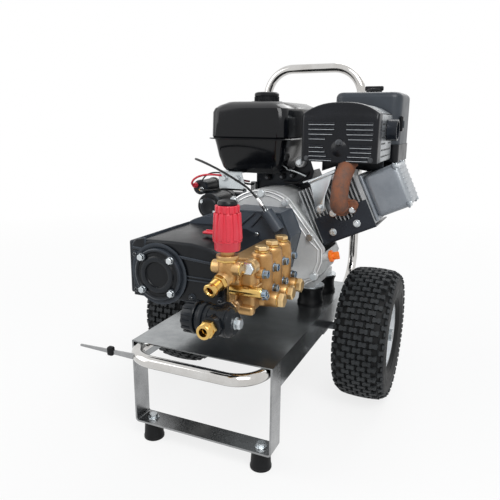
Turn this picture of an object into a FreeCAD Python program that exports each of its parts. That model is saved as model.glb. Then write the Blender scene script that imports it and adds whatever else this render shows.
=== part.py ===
"""Engine-driven pressure washer on a two-wheeled stainless cart, as separate solids.

Millimetres, +Z up. The working frame has x = 0 at the middle of the deck, y = 0 at the
deck's front edge and z = 0 on the ground; every shape is moved in X and Y when it is
written, so that the origin lies under the middle of the whole machine.
"""
import FreeCAD, Part
import math
import os

V = FreeCAD.Vector
X = V(1, 0, 0)
Y = V(0, 1, 0)
Z = V(0, 0, 1)

# ---- fits ----
RUN = 0.05          # radial clearance of a shaft in its bore
GAP = 0.6           # clearance between pieces that move past each other

# ---- deck and frame ----
DECK_W = 320.0
DECK_LEN = 600.0
DECK_TOP = 234.0
DECK_T = 2.5
FLANGE = 58.0       # depth of the folded side flanges
TUBE_R = 12.7
TUBE_WALL = 1.6
RAIL_X = 143.0      # rails of the tube loop, either side
HOOP_Y = -45.0      # front bar of the tube loop
HOOP_R = 60.0
JOIN_Y = 330.0      # where the front and rear tubes are butt-welded
LEG_Y = 700.0       # upright legs of the handle
LEG_R = 85.0
HANDLE_Z = 835.0
HANDLE_R = 80.0
FOOT_BAR_W = 47.0
FOOT_BAR_T = 4.0
FOOT_H = 43.0
FOOT_TOP_R = 19.0
FOOT_END_R = 22.5
FOOT_X = 129.0
FOOT_BOLT_R = 5.0

# ---- wheels ----
WHEEL_D = 330.0
TYRE_W = 125.0
TRACK = 518.0
WHEEL_Y = 430.0
RIM_R = 76.0
RIM_FLANGE_R = 84.0
RIM_W = 96.0
RIM_WALL = 3.0
TYRE_WALL = 8.0
HUB_LEN = 80.0
HUB_R = 26.0
BEARING_R = 21.0
BEARING_W = 14.0
AXLE_R = 10.0
WASHER_R = 18.0
WASHER_T = 3.0
CAP_R = 15.0
CAP_LEN = 12.0
BRACKET_T = 6.0

# ---- engine ----
CRANK_X = 12.0
CRANK_Z = 416.0
COVER_FRONT = 290.0     # power-take-off face of the crankcase cover
COVER_T = 18.0
CASE_REAR = 445.0
CASE_WALL = 7.0
BASE_Z = 284.0          # underside of the engine's feet
BASE_T = 16.0
MOUNT_X = (-86.0, 109.0)
MOUNT_Y = (390.0, 503.0)
MOUNT_R = 33.5
MOUNT_PLATE_T = 3.0
STUD_R = 5.0
NUT_AF = 17.0
NUT_T = 8.0
CYL_TILT = 25.0
CYL_Y = 380.0
BORE_R = 44.0
BARREL_R = 51.0
FIN_START = 120.0
HEAD_START = 180.0
COVER_START = 262.0
COVER_END = 350.0
COVER_LOW = 62.0        # the rocker cover below the bore's axis, and to either side of it
COVER_HIGH = 48.0
FIN_PITCH = 9.0
FIN_HALF = 64.0
SHAFT_R = 14.0
FAN_R = 108.0
FAN_Y0 = CASE_REAR + 0.2
FAN_Y1 = 552.0
FLYWHEEL_R = 96.0
RECOIL_Y1 = 622.0
DUCT_S = 116.0          # how far the fan housing's duct reaches towards the cylinder
SHELL_T = 2.5

# ---- fuel tank, silencer and air cleaner ----
TANK = (-134.0, 62.0, 302.0, 592.0)     # x and y extents above the seam
TANK_Z0 = 565.0
SEAM_Z = 616.0
TANK_TOP = 715.0
CAP_X = -24.0
CAP_Y = 400.0
FUEL_CAP_R = 31.0
FUEL_CAP_H = 40.0
GUARD = (101.0, 272.0, 300.0, 470.0, 597.0, 729.0)
CLEANER = (120.0, 286.0, 492.0, 652.0, 590.0, 757.0)

# ---- reduction gear and pump ----
GEAR_MODULE = 2.5
PINION_TEETH = 28
GEAR_TEETH = 60
PUMP_Z = 385.0
GEAR_FACE = 26.0
GEAR_BACKLASH = 0.35    # taken off the teeth so that they turn free
HOUSING_Y0 = 216.0
HOUSING_WALL = 6.0
PUMP_Y0 = 15.0
PUMP_SHAFT_R = 17.0
CASE_X0 = -158.0
CASE_X1 = 52.0
BOSS_R = 54.0
HEAD_X0 = 54.0
HEAD_X1 = 128.0
HEAD_Y0 = 20.0
HEAD_Z0 = 325.0
HEAD_Z1 = 440.0
COLUMN_PITCH = 53.5
COLUMN_Y = 69.0         # first of the three valve columns
PLUNGER_R = 10.0
BOLT_HEAD_R = 8.0
BOLT_HEAD_L = 10.0
BOLT_Z = (361.0, 404.0)
UNLOADER_X = 71.0
UNLOADER_Y = -10.0
KNOB_Z0 = 457.0
KNOB_Z1 = 540.0
KNOB_R = 26.0
FILTER_Y = -60.0
FILTER_Z = 339.0
INLET_X = 80.0
INLET_FRONT = -122.0

PITCH_CENTRES = GEAR_MODULE * (PINION_TEETH + GEAR_TEETH) / 2.0
PUMP_X = CRANK_X - math.sqrt(PITCH_CENTRES ** 2 - (CRANK_Z - PUMP_Z) ** 2)
RAIL_Z = DECK_TOP - DECK_T - TUBE_R - 0.2
WHEEL_Z = WHEEL_D / 2.0
HOUSING_Y1 = COVER_FRONT
COVER_FAR_X = (CRANK_X + COVER_END * math.cos(math.radians(CYL_TILT))
               + COVER_LOW * math.sin(math.radians(CYL_TILT)))
ORIGIN = V((COVER_FAR_X - (TRACK + TYRE_W) / 2.0) / 2.0, (INLET_FRONT + LEG_Y + TUBE_R) / 2.0, 0)

# ---- places worked out from the sizes above, and small features ----
COVER_BOLTS = ((12.0, 522.0), (72.0, 504.0), (134.0, 428.0), (146.0, 336.0), (-60.0, 500.0))
FILLER_AXIS = V(0.97, 0, 0.24).normalize()
FILLER_AT = V(146, COVER_FRONT + 9, 377)
EXHAUST_S = 205.0
FLANGE_R = 33.0
RECOIL_AXIS = V(-0.8, 0, 0.6)
RECOIL_EXIT = V(CRANK_X, FAN_Y1 + 8, CRANK_Z) + RECOIL_AXIS * FAN_R
TAIL_Y = 410.0
TAIL_Z = 668.0
PIPE_R = 15.0
PIPE_TOP = V(186, 329, 596)
CLEANER_X = 203.0
CLEANER_Y = 572.0
CARB = (120.0, 178.0, 466.0, 506.0)
CARB_TOP = 559.0
THROTTLE_AT = V(134, 486, CARB_TOP + 0.3)
PLUNGER_Z = 384.0
OIL_X = 6.0
OIL_Y = 92.0
BEARING_BOLTS = tuple((PUMP_X + sx * 30, PUMP_Z + sz * 30) for sx in (-1, 1) for sz in (-1, 1))
HEAD_BOLT_Y = tuple(COLUMN_Y + (index - 0.5) * COLUMN_PITCH for index in range(4))
UNLOADER_LINK_Z = 404.0
OUTLET_AXIS = V(-0.15, -0.95, -0.27).normalize()
OUTLET_AT = V(UNLOADER_X, UNLOADER_Y, 408) + OUTLET_AXIS * 22
OUTLET_R = 11.0
FILTER_X0 = 40.0
FILTER_X1 = 108.0
ACT_R = 14.0
ACT_Y = HOUSING_Y0 - ACT_R - 0.3
ACT_START = V(60, ACT_Y, 495)
ACT_END = V(90, ACT_Y, 456)
CABLE_R = 2.5
CABLE_END = V(-72, CASE_REAR - 14, 524)


# ---------------------------------------------------------------- shape helpers
def box(x0, x1, y0, y1, z0, z1):
    return Part.makeBox(x1 - x0, y1 - y0, z1 - z0, V(x0, y0, z0))


def rod(start, axis, radius, length):
    return Part.makeCylinder(radius, length, start, axis)


def ring(start, axis, outer, inner, length):
    hole = Part.makeCylinder(inner, length + 2.0, start - axis * 1.0, axis)
    return rod(start, axis, outer, length).cut(hole)


def cone(start, axis, r0, r1, length):
    return Part.makeCone(r0, r1, length, start, axis)


def prism(points, direction):
    wire = Part.makePolygon(points + [points[0]])
    return Part.Face(wire).extrude(direction)


def prism_xz(outline, y0, y1):
    return prism([V(x, y0, z) for x, z in outline], V(0, y1 - y0, 0))


def hexagon(start, axis, flats, length):
    """Hexagonal prism along axis, with its flats at the given distance."""
    side = X if abs(axis.x) < 0.7 else Y
    across = axis.cross(side)
    across.normalize()
    other = axis.cross(across)
    corner = flats / math.sqrt(3.0)
    points = []
    for index in range(6):
        angle = math.radians(60 * index)
        points.append(start + across * (corner * math.cos(angle)) + other * (corner * math.sin(angle)))
    return prism(points, axis * length)


def rounded(shape, radius, along):
    """Round the straight edges of a box that run along one axis."""
    edges = []
    for edge in shape.Edges:
        run = edge.Vertexes[-1].Point - edge.Vertexes[0].Point
        if run.Length > 1e-6 and abs(run.dot(along)) / run.Length > 0.999:
            edges.append(edge)
    return shape.makeFillet(radius, edges)


def fuse(shapes):
    joined = shapes[0].multiFuse(shapes[1:])
    return joined.removeSplitter()


def group(shapes):
    return Part.makeCompound(shapes)


def bent_tube(corners, bends, outer, inner):
    """Tube of straight runs joined by tangent arcs; bends gives each inner corner's radius."""
    edges = []
    last = corners[0]
    for index in range(1, len(corners) - 1):
        corner = corners[index]
        back = (corners[index - 1] - corner).normalize()
        ahead = (corners[index + 1] - corner).normalize()
        turn = math.pi - back.getAngle(ahead)
        setback = bends[index - 1] * math.tan(turn / 2.0)
        begin = corner + back * setback
        end = corner + ahead * setback
        inward = (back + ahead).normalize()
        reach = bends[index - 1] / math.cos(turn / 2.0) - bends[index - 1]
        edges.append(Part.LineSegment(last, begin).toShape())
        edges.append(Part.Arc(begin, corner + inward * reach, end).toShape())
        last = end
    edges.append(Part.LineSegment(last, corners[-1]).toShape())
    path = Part.Wire(edges)
    direction = (corners[1] - corners[0]).normalize()
    solids = []
    for radius in (outer, inner):
        if radius > 0:
            profile = Part.Wire(Part.makeCircle(radius, corners[0], direction))
            solids.append(path.makePipeShell([profile], True, False))
    if len(solids) == 2:
        return solids[0].cut(solids[1])
    return solids[0]


def revolve_x(outline, centre):
    """Turn an outline of (radius, x) points about an axis along X through centre."""
    points = [V(x, 0, radius) for radius, x in outline]
    face = Part.Face(Part.makePolygon(points + [points[0]]))
    body = face.revolve(V(0, 0, 0), X, 360)
    body.translate(centre)
    return body


def revolve_along(outline, start, axis):
    """Turn an outline of (radius, distance) points about the line start + axis."""
    points = [V(radius, 0, run) for radius, run in outline]
    face = Part.Face(Part.makePolygon(points + [points[0]]))
    body = face.revolve(V(0, 0, 0), Z, 360)
    turn = FreeCAD.Rotation(Z, axis)
    body.Placement = FreeCAD.Placement(start, turn)
    return body


def in_cylinder_frame(shape):
    """Carry a shape from the cylinder's own frame (X along the bore) to the tilted engine."""
    shape.rotate(V(0, 0, 0), Y, -CYL_TILT)
    shape.translate(V(CRANK_X, 0, CRANK_Z))
    return shape


# ---------------------------------------------------------------- frame
def deck():
    top = box(-DECK_W / 2, DECK_W / 2, 0, DECK_LEN, DECK_TOP - DECK_T, DECK_TOP)
    pieces = [top]
    for side in (-1, 1):
        outer = side * DECK_W / 2
        inner = side * (DECK_W / 2 - DECK_T)
        pieces.append(box(min(outer, inner), max(outer, inner), FOOT_BAR_W + 1, DECK_LEN,
                          DECK_TOP - FLANGE, DECK_TOP - DECK_T))
    pieces.append(box(-RAIL_X + TUBE_R + 2, RAIL_X - TUBE_R - 2, DECK_LEN - DECK_T, DECK_LEN,
                      DECK_TOP - FLANGE, DECK_TOP - DECK_T))
    sheet = fuse(pieces)
    for x in MOUNT_X:
        for y in MOUNT_Y:
            sheet = sheet.cut(rod(V(x, y, DECK_TOP - 10), Z, STUD_R + 0.5, 20))
    return sheet


def foot_bracket():
    half = DECK_W / 2
    top = DECK_TOP - DECK_T
    outer = rounded(box(-half, half, 0, FOOT_BAR_W, FOOT_H, top + 20), 8, Y)
    inner = rounded(box(-half + FOOT_BAR_T, half - FOOT_BAR_T, -1, FOOT_BAR_W + 1,
                        FOOT_H + FOOT_BAR_T, top + 40), 4, Y)
    bar = outer.cut(inner).cut(box(-half - 1, half + 1, -1, FOOT_BAR_W + 1, top, top + 50))
    for side in (-1, 1):
        bar = bar.cut(rod(V(side * FOOT_X, FOOT_BAR_W / 2, 0), Z, FOOT_BOLT_R + 0.3, 100))
    return bar


def rubber_feet():
    feet = []
    for side in (-1, 1):
        base = V(side * FOOT_X, FOOT_BAR_W / 2, 0)
        foot = cone(base, Z, FOOT_END_R, FOOT_TOP_R, FOOT_H)
        feet.append(foot.cut(rod(base + Z * 12, Z, FOOT_BOLT_R + 0.1, FOOT_H)))
    return group(feet)


def front_tube():
    corners = [V(-RAIL_X, JOIN_Y, RAIL_Z), V(-RAIL_X, HOOP_Y, RAIL_Z),
               V(RAIL_X, HOOP_Y, RAIL_Z), V(RAIL_X, JOIN_Y, RAIL_Z)]
    return bent_tube(corners, [HOOP_R, HOOP_R], TUBE_R, TUBE_R - TUBE_WALL)


def handle_tube():
    corners = [V(-RAIL_X, JOIN_Y, RAIL_Z), V(-RAIL_X, LEG_Y, RAIL_Z), V(-RAIL_X, LEG_Y, HANDLE_Z),
               V(RAIL_X, LEG_Y, HANDLE_Z), V(RAIL_X, LEG_Y, RAIL_Z), V(RAIL_X, JOIN_Y, RAIL_Z)]
    return bent_tube(corners, [LEG_R, HANDLE_R, HANDLE_R, LEG_R], TUBE_R, TUBE_R - TUBE_WALL)


def axle():
    half = TRACK / 2 + HUB_LEN / 2 + GAP + WASHER_T + CAP_LEN
    bar = rod(V(-half, WHEEL_Y, WHEEL_Z), X, AXLE_R, 2 * half)
    pieces = [bar]
    for side in (-1, 1):
        inner = side * RAIL_X - BRACKET_T / 2
        plate = box(inner, inner + BRACKET_T, WHEEL_Y - 32, WHEEL_Y + 32,
                    WHEEL_Z - 16, RAIL_Z - TUBE_R - 0.2)
        pieces.append(plate)
    return fuse(pieces)


def lance_rest():
    """Tapered strip clamped to the front tube by a collar, that holds the lance."""
    y0 = HOOP_Y + 2
    strip = prism([V(-124, y0, RAIL_Z + 8), V(-262, y0, RAIL_Z + 4),
                   V(-262, y0, RAIL_Z), V(-124, y0, RAIL_Z - 4)],
                  V(0, 3.5, 0))
    collar = rounded(box(-188, -178, y0 - 3, y0 + 6.5, RAIL_Z - 5, RAIL_Z + 12), 3, X)
    corners = [V(-RAIL_X, JOIN_Y, RAIL_Z), V(-RAIL_X, HOOP_Y, RAIL_Z), V(RAIL_X, HOOP_Y, RAIL_Z)]
    return fuse([strip, collar]).cut(bent_tube(corners, [HOOP_R], TUBE_R + 0.2, 0))


# ---------------------------------------------------------------- wheels
def tyre(side):
    half = TYRE_W / 2
    top = WHEEL_D / 2
    bead = RIM_R + 0.1
    w = RIM_W / 2 - RIM_WALL - 0.2
    wall = TYRE_WALL
    outline = [(bead, -w), (bead + 9, -w), (RIM_FLANGE_R + 6, -half + 9), (top - 42, -half),
               (top - 20, -half + 3), (top - 7, -half + 12), (top - 1, -half + 28), (top, 0),
               (top - 1, half - 28), (top - 7, half - 12), (top - 20, half - 3), (top - 42, half),
               (RIM_FLANGE_R + 6, half - 9), (bead + 9, w), (bead, w),
               (bead, w - 10), (bead + 12, w - 9), (RIM_FLANGE_R + 8, half - 9 - wall),
               (top - 42, half - wall), (top - 18, half - wall - 4), (top - 12, half - 30),
               (top - 11, 0), (top - 12, -half + 30), (top - 18, -half + wall + 4),
               (top - 42, -half + wall), (RIM_FLANGE_R + 8, -half + 9 + wall), (bead + 12, -w + 9),
               (bead, -w + 10)]
    return revolve_x(outline, V(side * TRACK / 2, WHEEL_Y, WHEEL_Z))


def rim(side):
    half = RIM_W / 2
    bore = BEARING_R + RUN
    hub = HUB_LEN / 2
    outline = [(bore, -hub), (HUB_R, -hub), (HUB_R, -2), (RIM_R - RIM_WALL, -2),
               (RIM_R - RIM_WALL, -half + RIM_WALL),
               (RIM_R - RIM_WALL, -half), (RIM_FLANGE_R, -half), (RIM_FLANGE_R, -half + RIM_WALL),
               (RIM_R, -half + RIM_WALL), (RIM_R, half - RIM_WALL), (RIM_FLANGE_R, half - RIM_WALL),
               (RIM_FLANGE_R, half), (RIM_R - RIM_WALL, half), (RIM_R - RIM_WALL, 2), (HUB_R, 2),
               (HUB_R, hub), (bore, hub)]
    return revolve_x(outline, V(side * TRACK / 2, WHEEL_Y, WHEEL_Z))


def bearings(side):
    centre = side * TRACK / 2
    start = HUB_LEN / 2 - BEARING_W
    rings = []
    for x in (centre - start - BEARING_W, centre + start):
        rings.append(ring(V(x, WHEEL_Y, WHEEL_Z), X, BEARING_R, AXLE_R + RUN, BEARING_W))
    return group(rings)


# ---------------------------------------------------------------- engine, fixed parts
def cover_outline(grow):
    """Outline of the crankcase cover in XZ: a round top, a slope and a bulge on the right."""
    points = []
    radius = 113.0 + grow
    for degrees in range(205, 53, -8):
        angle = math.radians(degrees)
        points.append((CRANK_X + radius * math.cos(angle), CRANK_Z + radius * math.sin(angle)))
    points += [(141 + grow, 431 + grow), (164 + grow, 400), (164 + grow, 372), (150 + grow, 330),
               (118 + grow, 308 - grow), (-70 - grow, 308 - grow)]
    return points


def crankcase():
    outer = prism_xz(cover_outline(0), COVER_FRONT + COVER_T, CASE_REAR)
    inner = prism_xz(cover_outline(-CASE_WALL), COVER_FRONT + COVER_T - 1, CASE_REAR - CASE_WALL)
    base = box(MOUNT_X[0] - 18, MOUNT_X[1] + 18, COVER_FRONT + COVER_T + 52, MOUNT_Y[1] + 18,
               BASE_Z, BASE_Z + BASE_T)
    web = box(MOUNT_X[0] + 10, MOUNT_X[1] - 10, COVER_FRONT + COVER_T + 52, CASE_REAR,
              BASE_Z + BASE_T, 312)
    ear = box(-150, CRANK_X - 60, CASE_REAR - 14, CASE_REAR, 440, 500)
    stop = box(CABLE_END.x - 7, CABLE_END.x + 7, CASE_REAR - 14, CASE_REAR, CABLE_END.z - 34, CABLE_END.z + 6)
    body = fuse([outer, base, web, ear, stop]).cut(inner)
    beyond = in_cylinder_frame(box(FIN_START - 2, 400, 200, 600, -200, 200))
    body = body.cut(beyond)
    spigot = in_cylinder_frame(rod(V(40, CYL_Y, 0), X, BARREL_R + 0.1, 200))
    body = body.cut(spigot)
    body = body.cut(rod(V(CRANK_X, CASE_REAR - 20, CRANK_Z), Y, SHAFT_R + RUN, 40))
    for x in MOUNT_X:
        for y in MOUNT_Y:
            body = body.cut(rod(V(x, y, BASE_Z - 1), Z, STUD_R + 0.3, 40))
    return body.cut(filler_bore())


def side_cover():
    plate = prism_xz(cover_outline(0), COVER_FRONT, COVER_FRONT + COVER_T)
    pocket = prism_xz(cover_outline(-CASE_WALL), COVER_FRONT + 8, COVER_FRONT + COVER_T + 1)
    body = plate.cut(pocket)
    boss = rod(V(CRANK_X, COVER_FRONT, CRANK_Z), Y, SHAFT_R + 14, COVER_T)
    body = fuse([body, boss])
    for x, z in COVER_BOLTS:
        body = body.cut(rod(V(x, COVER_FRONT - 1, z), Y, 4.2, COVER_T + 2))
    body = body.cut(rod(V(CRANK_X, COVER_FRONT - 1, CRANK_Z), Y, SHAFT_R + RUN, COVER_T + 2))
    return fuse([body, filler_neck()]).cut(filler_bore())






def filler_neck():
    return rod(FILLER_AT, FILLER_AXIS, 8.9, 34)


def filler_bore():
    return rod(FILLER_AT - FILLER_AXIS * 40, FILLER_AXIS, 5.5, 80)


def dipstick():
    end = FILLER_AT + FILLER_AXIS * 34
    cap = rod(end + FILLER_AXIS * 0.3, FILLER_AXIS, 13.5, 8)
    ear = rod(end + FILLER_AXIS * 8, FILLER_AXIS, 4, 16)
    blade = rod(end - FILLER_AXIS * 44, FILLER_AXIS, 3, 46)
    return fuse([cap, ear, blade])


def zinc_bolts():
    """Plated steel pieces: foot bolts, engine mount plates with their studs and nuts,
    cover screws, axle washers and caps, and the silencer's stay."""
    parts = []
    for side in (-1, 1):
        at = V(side * FOOT_X, FOOT_BAR_W / 2, FOOT_H + FOOT_BAR_T)
        shank = rod(at - Z * (FOOT_BAR_T + 28), Z, FOOT_BOLT_R, FOOT_BAR_T + 29)
        washer = rod(at, Z, 11, 2)
        head = hexagon(at + Z * 2, Z, 16, 7)
        parts.append(fuse([shank, washer, head]))
    for x in MOUNT_X:
        for y in MOUNT_Y:
            foot = DECK_TOP - DECK_T - 14
            stud = rod(V(x, y, foot), Z, STUD_R, BASE_Z + BASE_T + 12 - foot)
            plate = rod(V(x, y, BASE_Z - MOUNT_PLATE_T), Z, MOUNT_R, MOUNT_PLATE_T)
            nut = hexagon(V(x, y, BASE_Z + BASE_T), Z, NUT_AF, NUT_T)
            lower = hexagon(V(x, y, DECK_TOP - DECK_T - NUT_T), Z, NUT_AF, NUT_T)
            parts.append(fuse([stud, plate, nut, lower]))
    for x, z in COVER_BOLTS:
        shank = rod(V(x, COVER_FRONT - 2, z), Y, 4, COVER_T + 2)
        head = hexagon(V(x, COVER_FRONT - 8, z), Y, 12, 8)
        parts.append(fuse([shank, head]))
    for side in (-1, 1):
        for step in (-1, 1):
            face = side * TRACK / 2 + step * (HUB_LEN / 2 + GAP)
            start = face if step > 0 else face - WASHER_T
            parts.append(ring(V(start, WHEEL_Y, WHEEL_Z), X, WASHER_R, AXLE_R + 0.1, WASHER_T))
        outer = side * (TRACK / 2 + HUB_LEN / 2 + GAP + WASHER_T + 0.1)
        start = outer if side > 0 else outer - CAP_LEN
        parts.append(ring(V(start, WHEEL_Y, WHEEL_Z), X, CAP_R, AXLE_R + 0.1, CAP_LEN - 0.1))
    parts.append(silencer_stay())
    return group(parts)


def silencer_stay():
    """Bent strip from the cylinder block up to the sheet below the silencer."""
    y0 = CYL_Y - FIN_HALF - 3
    up = prism([V(139, y0, 486), V(159, y0, 487), V(152, y0, 568), V(120, y0, 556)], V(0, 2.5, 0))
    sheet = prism([V(104, y0, 551), V(166, y0, 573), V(166, y0, 570), V(105, y0, 548)], V(0, 40, 0))
    return fuse([up, sheet])


def engine_mounts():
    mounts = []
    for x in MOUNT_X:
        for y in MOUNT_Y:
            height = BASE_Z - MOUNT_PLATE_T - DECK_TOP
            mounts.append(ring(V(x, y, DECK_TOP), Z, MOUNT_R, STUD_R + 0.1, height))
    return group(mounts)


def cylinder():
    """Iron liner in an alloy block with cooling fins across the bore."""
    barrel = rod(V(FIN_START - 26, CYL_Y, 0), X, BARREL_R, HEAD_START - FIN_START + 26)
    parts = [barrel]
    count = int((HEAD_START - FIN_START) / FIN_PITCH)
    for index in range(count):
        start = FIN_START + index * FIN_PITCH
        parts.append(box(start, start + 2.6, CYL_Y - FIN_HALF, CYL_Y + FIN_HALF, -66, 66))
    parts.append(box(FIN_START, HEAD_START, CYL_Y - 10, CYL_Y + 10, -64, 64))
    body = fuse(parts).cut(rod(V(0, CYL_Y, 0), X, BORE_R, 400))
    return in_cylinder_frame(body)


def cylinder_head():
    core = box(HEAD_START, COVER_START, CYL_Y - 46, CYL_Y + 46, -46, 46)
    parts = [core]
    count = int((COVER_START - HEAD_START) / FIN_PITCH)
    for index in range(count):
        start = HEAD_START + index * FIN_PITCH
        parts.append(box(start, start + 2.6, CYL_Y - FIN_HALF, CYL_Y + FIN_HALF, -64, 50))
    parts.append(box(COVER_START - 8, COVER_START, CYL_Y - FIN_HALF, CYL_Y + FIN_HALF, -64, 50))
    port = rod(V(EXHAUST_S, CYL_Y - FIN_HALF - 1, 0), Y, 24, 30)
    parts.append(port)
    body = fuse(parts).cut(rod(V(EXHAUST_S, CYL_Y - FIN_HALF - 2, 0), Y, 15, 60))
    return in_cylinder_frame(body)




def valve_cover():
    outer = rounded(box(COVER_START, COVER_END, CYL_Y - COVER_LOW, CYL_Y + COVER_LOW,
                        -COVER_LOW, COVER_HIGH), 16, X)
    inner = rounded(box(COVER_START - 1, COVER_END - 6, CYL_Y - COVER_LOW + 4, CYL_Y + COVER_LOW - 4,
                        4 - COVER_LOW, COVER_HIGH - 4), 12, X)
    return in_cylinder_frame(outer.cut(inner))


def piston():
    crown = rod(V(112, CYL_Y, 0), X, BORE_R - 0.1, 46)
    hollow = rod(V(111, CYL_Y, 0), X, BORE_R - 6, 38)
    pin = rod(V(130, CYL_Y - 40, 0), Y, 9, 80)
    return in_cylinder_frame(fuse([crown.cut(hollow), pin]))


def cylinder_shroud():
    """Black pressed plate in front of and below the cylinder."""
    y0 = CYL_Y - FIN_HALF - 2.3
    plate = box(FIN_START + 12, COVER_START - 2, y0, y0 + 2, -72, -7)
    under = box(FIN_START + 2, COVER_START - 2, y0, CYL_Y + FIN_HALF, -72, -69)
    around_port = rod(V(EXHAUST_S, y0 - 1, 0), Y, FLANGE_R + 2, 4)
    return in_cylinder_frame(fuse([plate, under]).cut(around_port))


def fan_housing():
    """Sheet casing of the flywheel, with the arms that carry the tank."""
    centre = V(CRANK_X, FAN_Y0, CRANK_Z)
    depth = FAN_Y1 - FAN_Y0
    drum = rod(centre, Y, FAN_R, depth)
    duct = in_cylinder_frame(box(0, DUCT_S, FAN_Y0, FAN_Y1, -60, FAN_R - 1))
    hollow = rod(centre + Y * SHELL_T, Y, FAN_R - SHELL_T, depth)
    duct_in = in_cylinder_frame(box(0, DUCT_S - SHELL_T, FAN_Y0 + SHELL_T, FAN_Y1 + 1, -60 + SHELL_T,
                                    FAN_R - 1 - SHELL_T))
    body = fuse([drum, duct]).cut(fuse([hollow, duct_in]))
    body = body.cut(rod(centre - Y, Y, SHAFT_R + 6, 6))
    arms = []
    for x in (-68, -14):
        arms.append(box(x, x + 18, FAN_Y0, FAN_Y0 + 60, CRANK_Z + 60, TANK_Z0 - 0.2))
    arm_cut = rod(centre + Y * SHELL_T, Y, FAN_R - 1, depth)
    return fuse([body] + [arm.cut(arm_cut) for arm in arms])


def recoil_housing():
    centre = V(CRANK_X, FAN_Y1 + 0.2, CRANK_Z)
    depth = RECOIL_Y1 - FAN_Y1
    outer = rod(centre, Y, FAN_R, 14).fuse(cone(centre + Y * 14, Y, FAN_R - 8, FAN_R - 26, depth - 14))
    dish = cone(centre + Y * 11, Y, FAN_R - 11, FAN_R - 29, depth - 14)
    inner = rod(centre - Y, Y, FAN_R - SHELL_T, 13).fuse(dish)
    body = outer.cut(inner)
    for ring_index, radius in ((0, 32), (1, 56)):
        for step in range(12):
            angle = math.radians(30 * step + 15 * ring_index)
            at = V(CRANK_X + radius * math.cos(angle), RECOIL_Y1 - 20, CRANK_Z + radius * math.sin(angle))
            body = body.cut(rod(at, Y, 5, 40))
    return body.cut(rope_hole())




def rope_hole():
    return rod(RECOIL_EXIT - RECOIL_AXIS * 14, RECOIL_AXIS, 5, 24)


def recoil_handle():
    grip = rounded(box(-22, 22, -7, 7, 0, 18), 5, X)
    rope = rod(V(0, 0, -9), Z, 3, 10)
    body = fuse([grip, rope])
    body.Placement = FreeCAD.Placement(RECOIL_EXIT + RECOIL_AXIS * GAP, FreeCAD.Rotation(Z, RECOIL_AXIS))
    return body


def fuel_tank():
    x0, x1, y0, y1 = TANK
    upper = rounded(box(x0, x1, y0, y1, SEAM_Z, TANK_TOP), 24, Z)
    edges = [e for e in upper.Edges if e.BoundBox.ZMin > TANK_TOP - 0.1]
    upper = upper.makeChamfer(16, edges)
    seam = rounded(box(x0 - 8, x1 + 8, y0 - 8, y1 + 8, SEAM_Z - 3, SEAM_Z), 30, Z)
    lower = rounded(box(x0 + 8, x1 - 8, y0 + 8, y1 - 8, TANK_Z0, SEAM_Z - 3), 24, Z)
    low_edges = [e for e in lower.Edges if e.BoundBox.ZMax < TANK_Z0 + 0.1]
    lower = lower.makeChamfer(14, low_edges)
    neck = rod(V(CAP_X, CAP_Y, TANK_TOP - 1), Z, FUEL_CAP_R - 6, 12)
    outer = fuse([upper, seam, lower, neck])
    inner = rounded(box(x0 + 14, x1 - 14, y0 + 14, y1 - 14, TANK_Z0 + 20, TANK_TOP - 18), 16, Z)
    mouth = rod(V(CAP_X, CAP_Y, TANK_TOP - 30), Z, FUEL_CAP_R - 9, 60)
    return outer.cut(inner).cut(mouth)


def fuel_cap():
    base = V(CAP_X, CAP_Y, TANK_TOP + 2)
    skirt = rod(base, Z, FUEL_CAP_R, FUEL_CAP_H - 2)
    inner = rod(base - Z, Z, FUEL_CAP_R - 6 + GAP, 11)
    return skirt.cut(inner)


def fuel_gasket():
    return ring(V(CAP_X, CAP_Y, TANK_TOP + 11.1), Z, FUEL_CAP_R - 6, FUEL_CAP_R - 8.8, 0.8)


def muffler():
    x0, x1, y0, y1, z0, z1 = GUARD
    outer = rounded(box(x0 + 12, x1 - 12, y0 + 12, y1 - 6, z0 + 10, z1 - 22), 20, X)
    inner = rounded(box(x0 + 14, x1 - 14, y0 + 14, y1 - 8, z0 + 12, z1 - 24), 18, X)
    body = outer.cut(inner)
    body = body.cut(rod(V(PIPE_TOP.x, PIPE_TOP.y, z0), Z, PIPE_R + 0.2, 20))
    tail = rod(V(x1 - 30, TAIL_Y, TAIL_Z), X, 13, 44)
    tail_bore = rod(V(x1 - 31, TAIL_Y, TAIL_Z), X, 11, 46)
    return fuse([body, tail]).cut(tail_bore)




def muffler_guard():
    x0, x1, y0, y1, z0, z1 = GUARD
    wall = 1.5
    outer = prism(arched(x0, x1, y0, z0, z1), V(0, y1 - y0, 0))
    inner = prism(arched(x0 + wall, x1 - wall, y0, z0 - 1, z1 - wall), V(0, y1 - y0 + 2, 0))
    inner.translate(V(0, wall, 0))
    body = outer.cut(inner)
    for side in (-1, 1):
        for row in range(8):
            if row == 4:
                continue
            z = z0 + 18 + row * 9.5
            mid = (x0 + x1) / 2 + side * 43
            body = body.cut(box(mid - 22, mid + 22, y0 - 1, y0 + wall + 1, z, z + 2.2))
    body = body.cut(rod(V(x1 - 5, TAIL_Y, TAIL_Z), X, 14, 10))
    hood = ring(V(x1 - 0.2, TAIL_Y, TAIL_Z), X, 24, 20, 22)
    hood = hood.cut(box(x1 + 4, x1 + 40, TAIL_Y - 40, TAIL_Y + 40, TAIL_Z - 40, TAIL_Z - 8))
    arms = ring(V(x1 - 0.2, TAIL_Y, TAIL_Z), X, 24, 15, 2)
    return fuse([body, hood, arms])


def arched(x0, x1, y, z0, z1):
    """Outline of the guard: upright sides and a low crown."""
    points = [V(x0, y, z0), V(x1, y, z0)]
    half = (x1 - x0) / 2
    for step in range(13):
        share = 1 - step / 6.0
        points.append(V(x0 + half + half * share, y, z1 - 26 * abs(share) ** 3))
    return points


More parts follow.
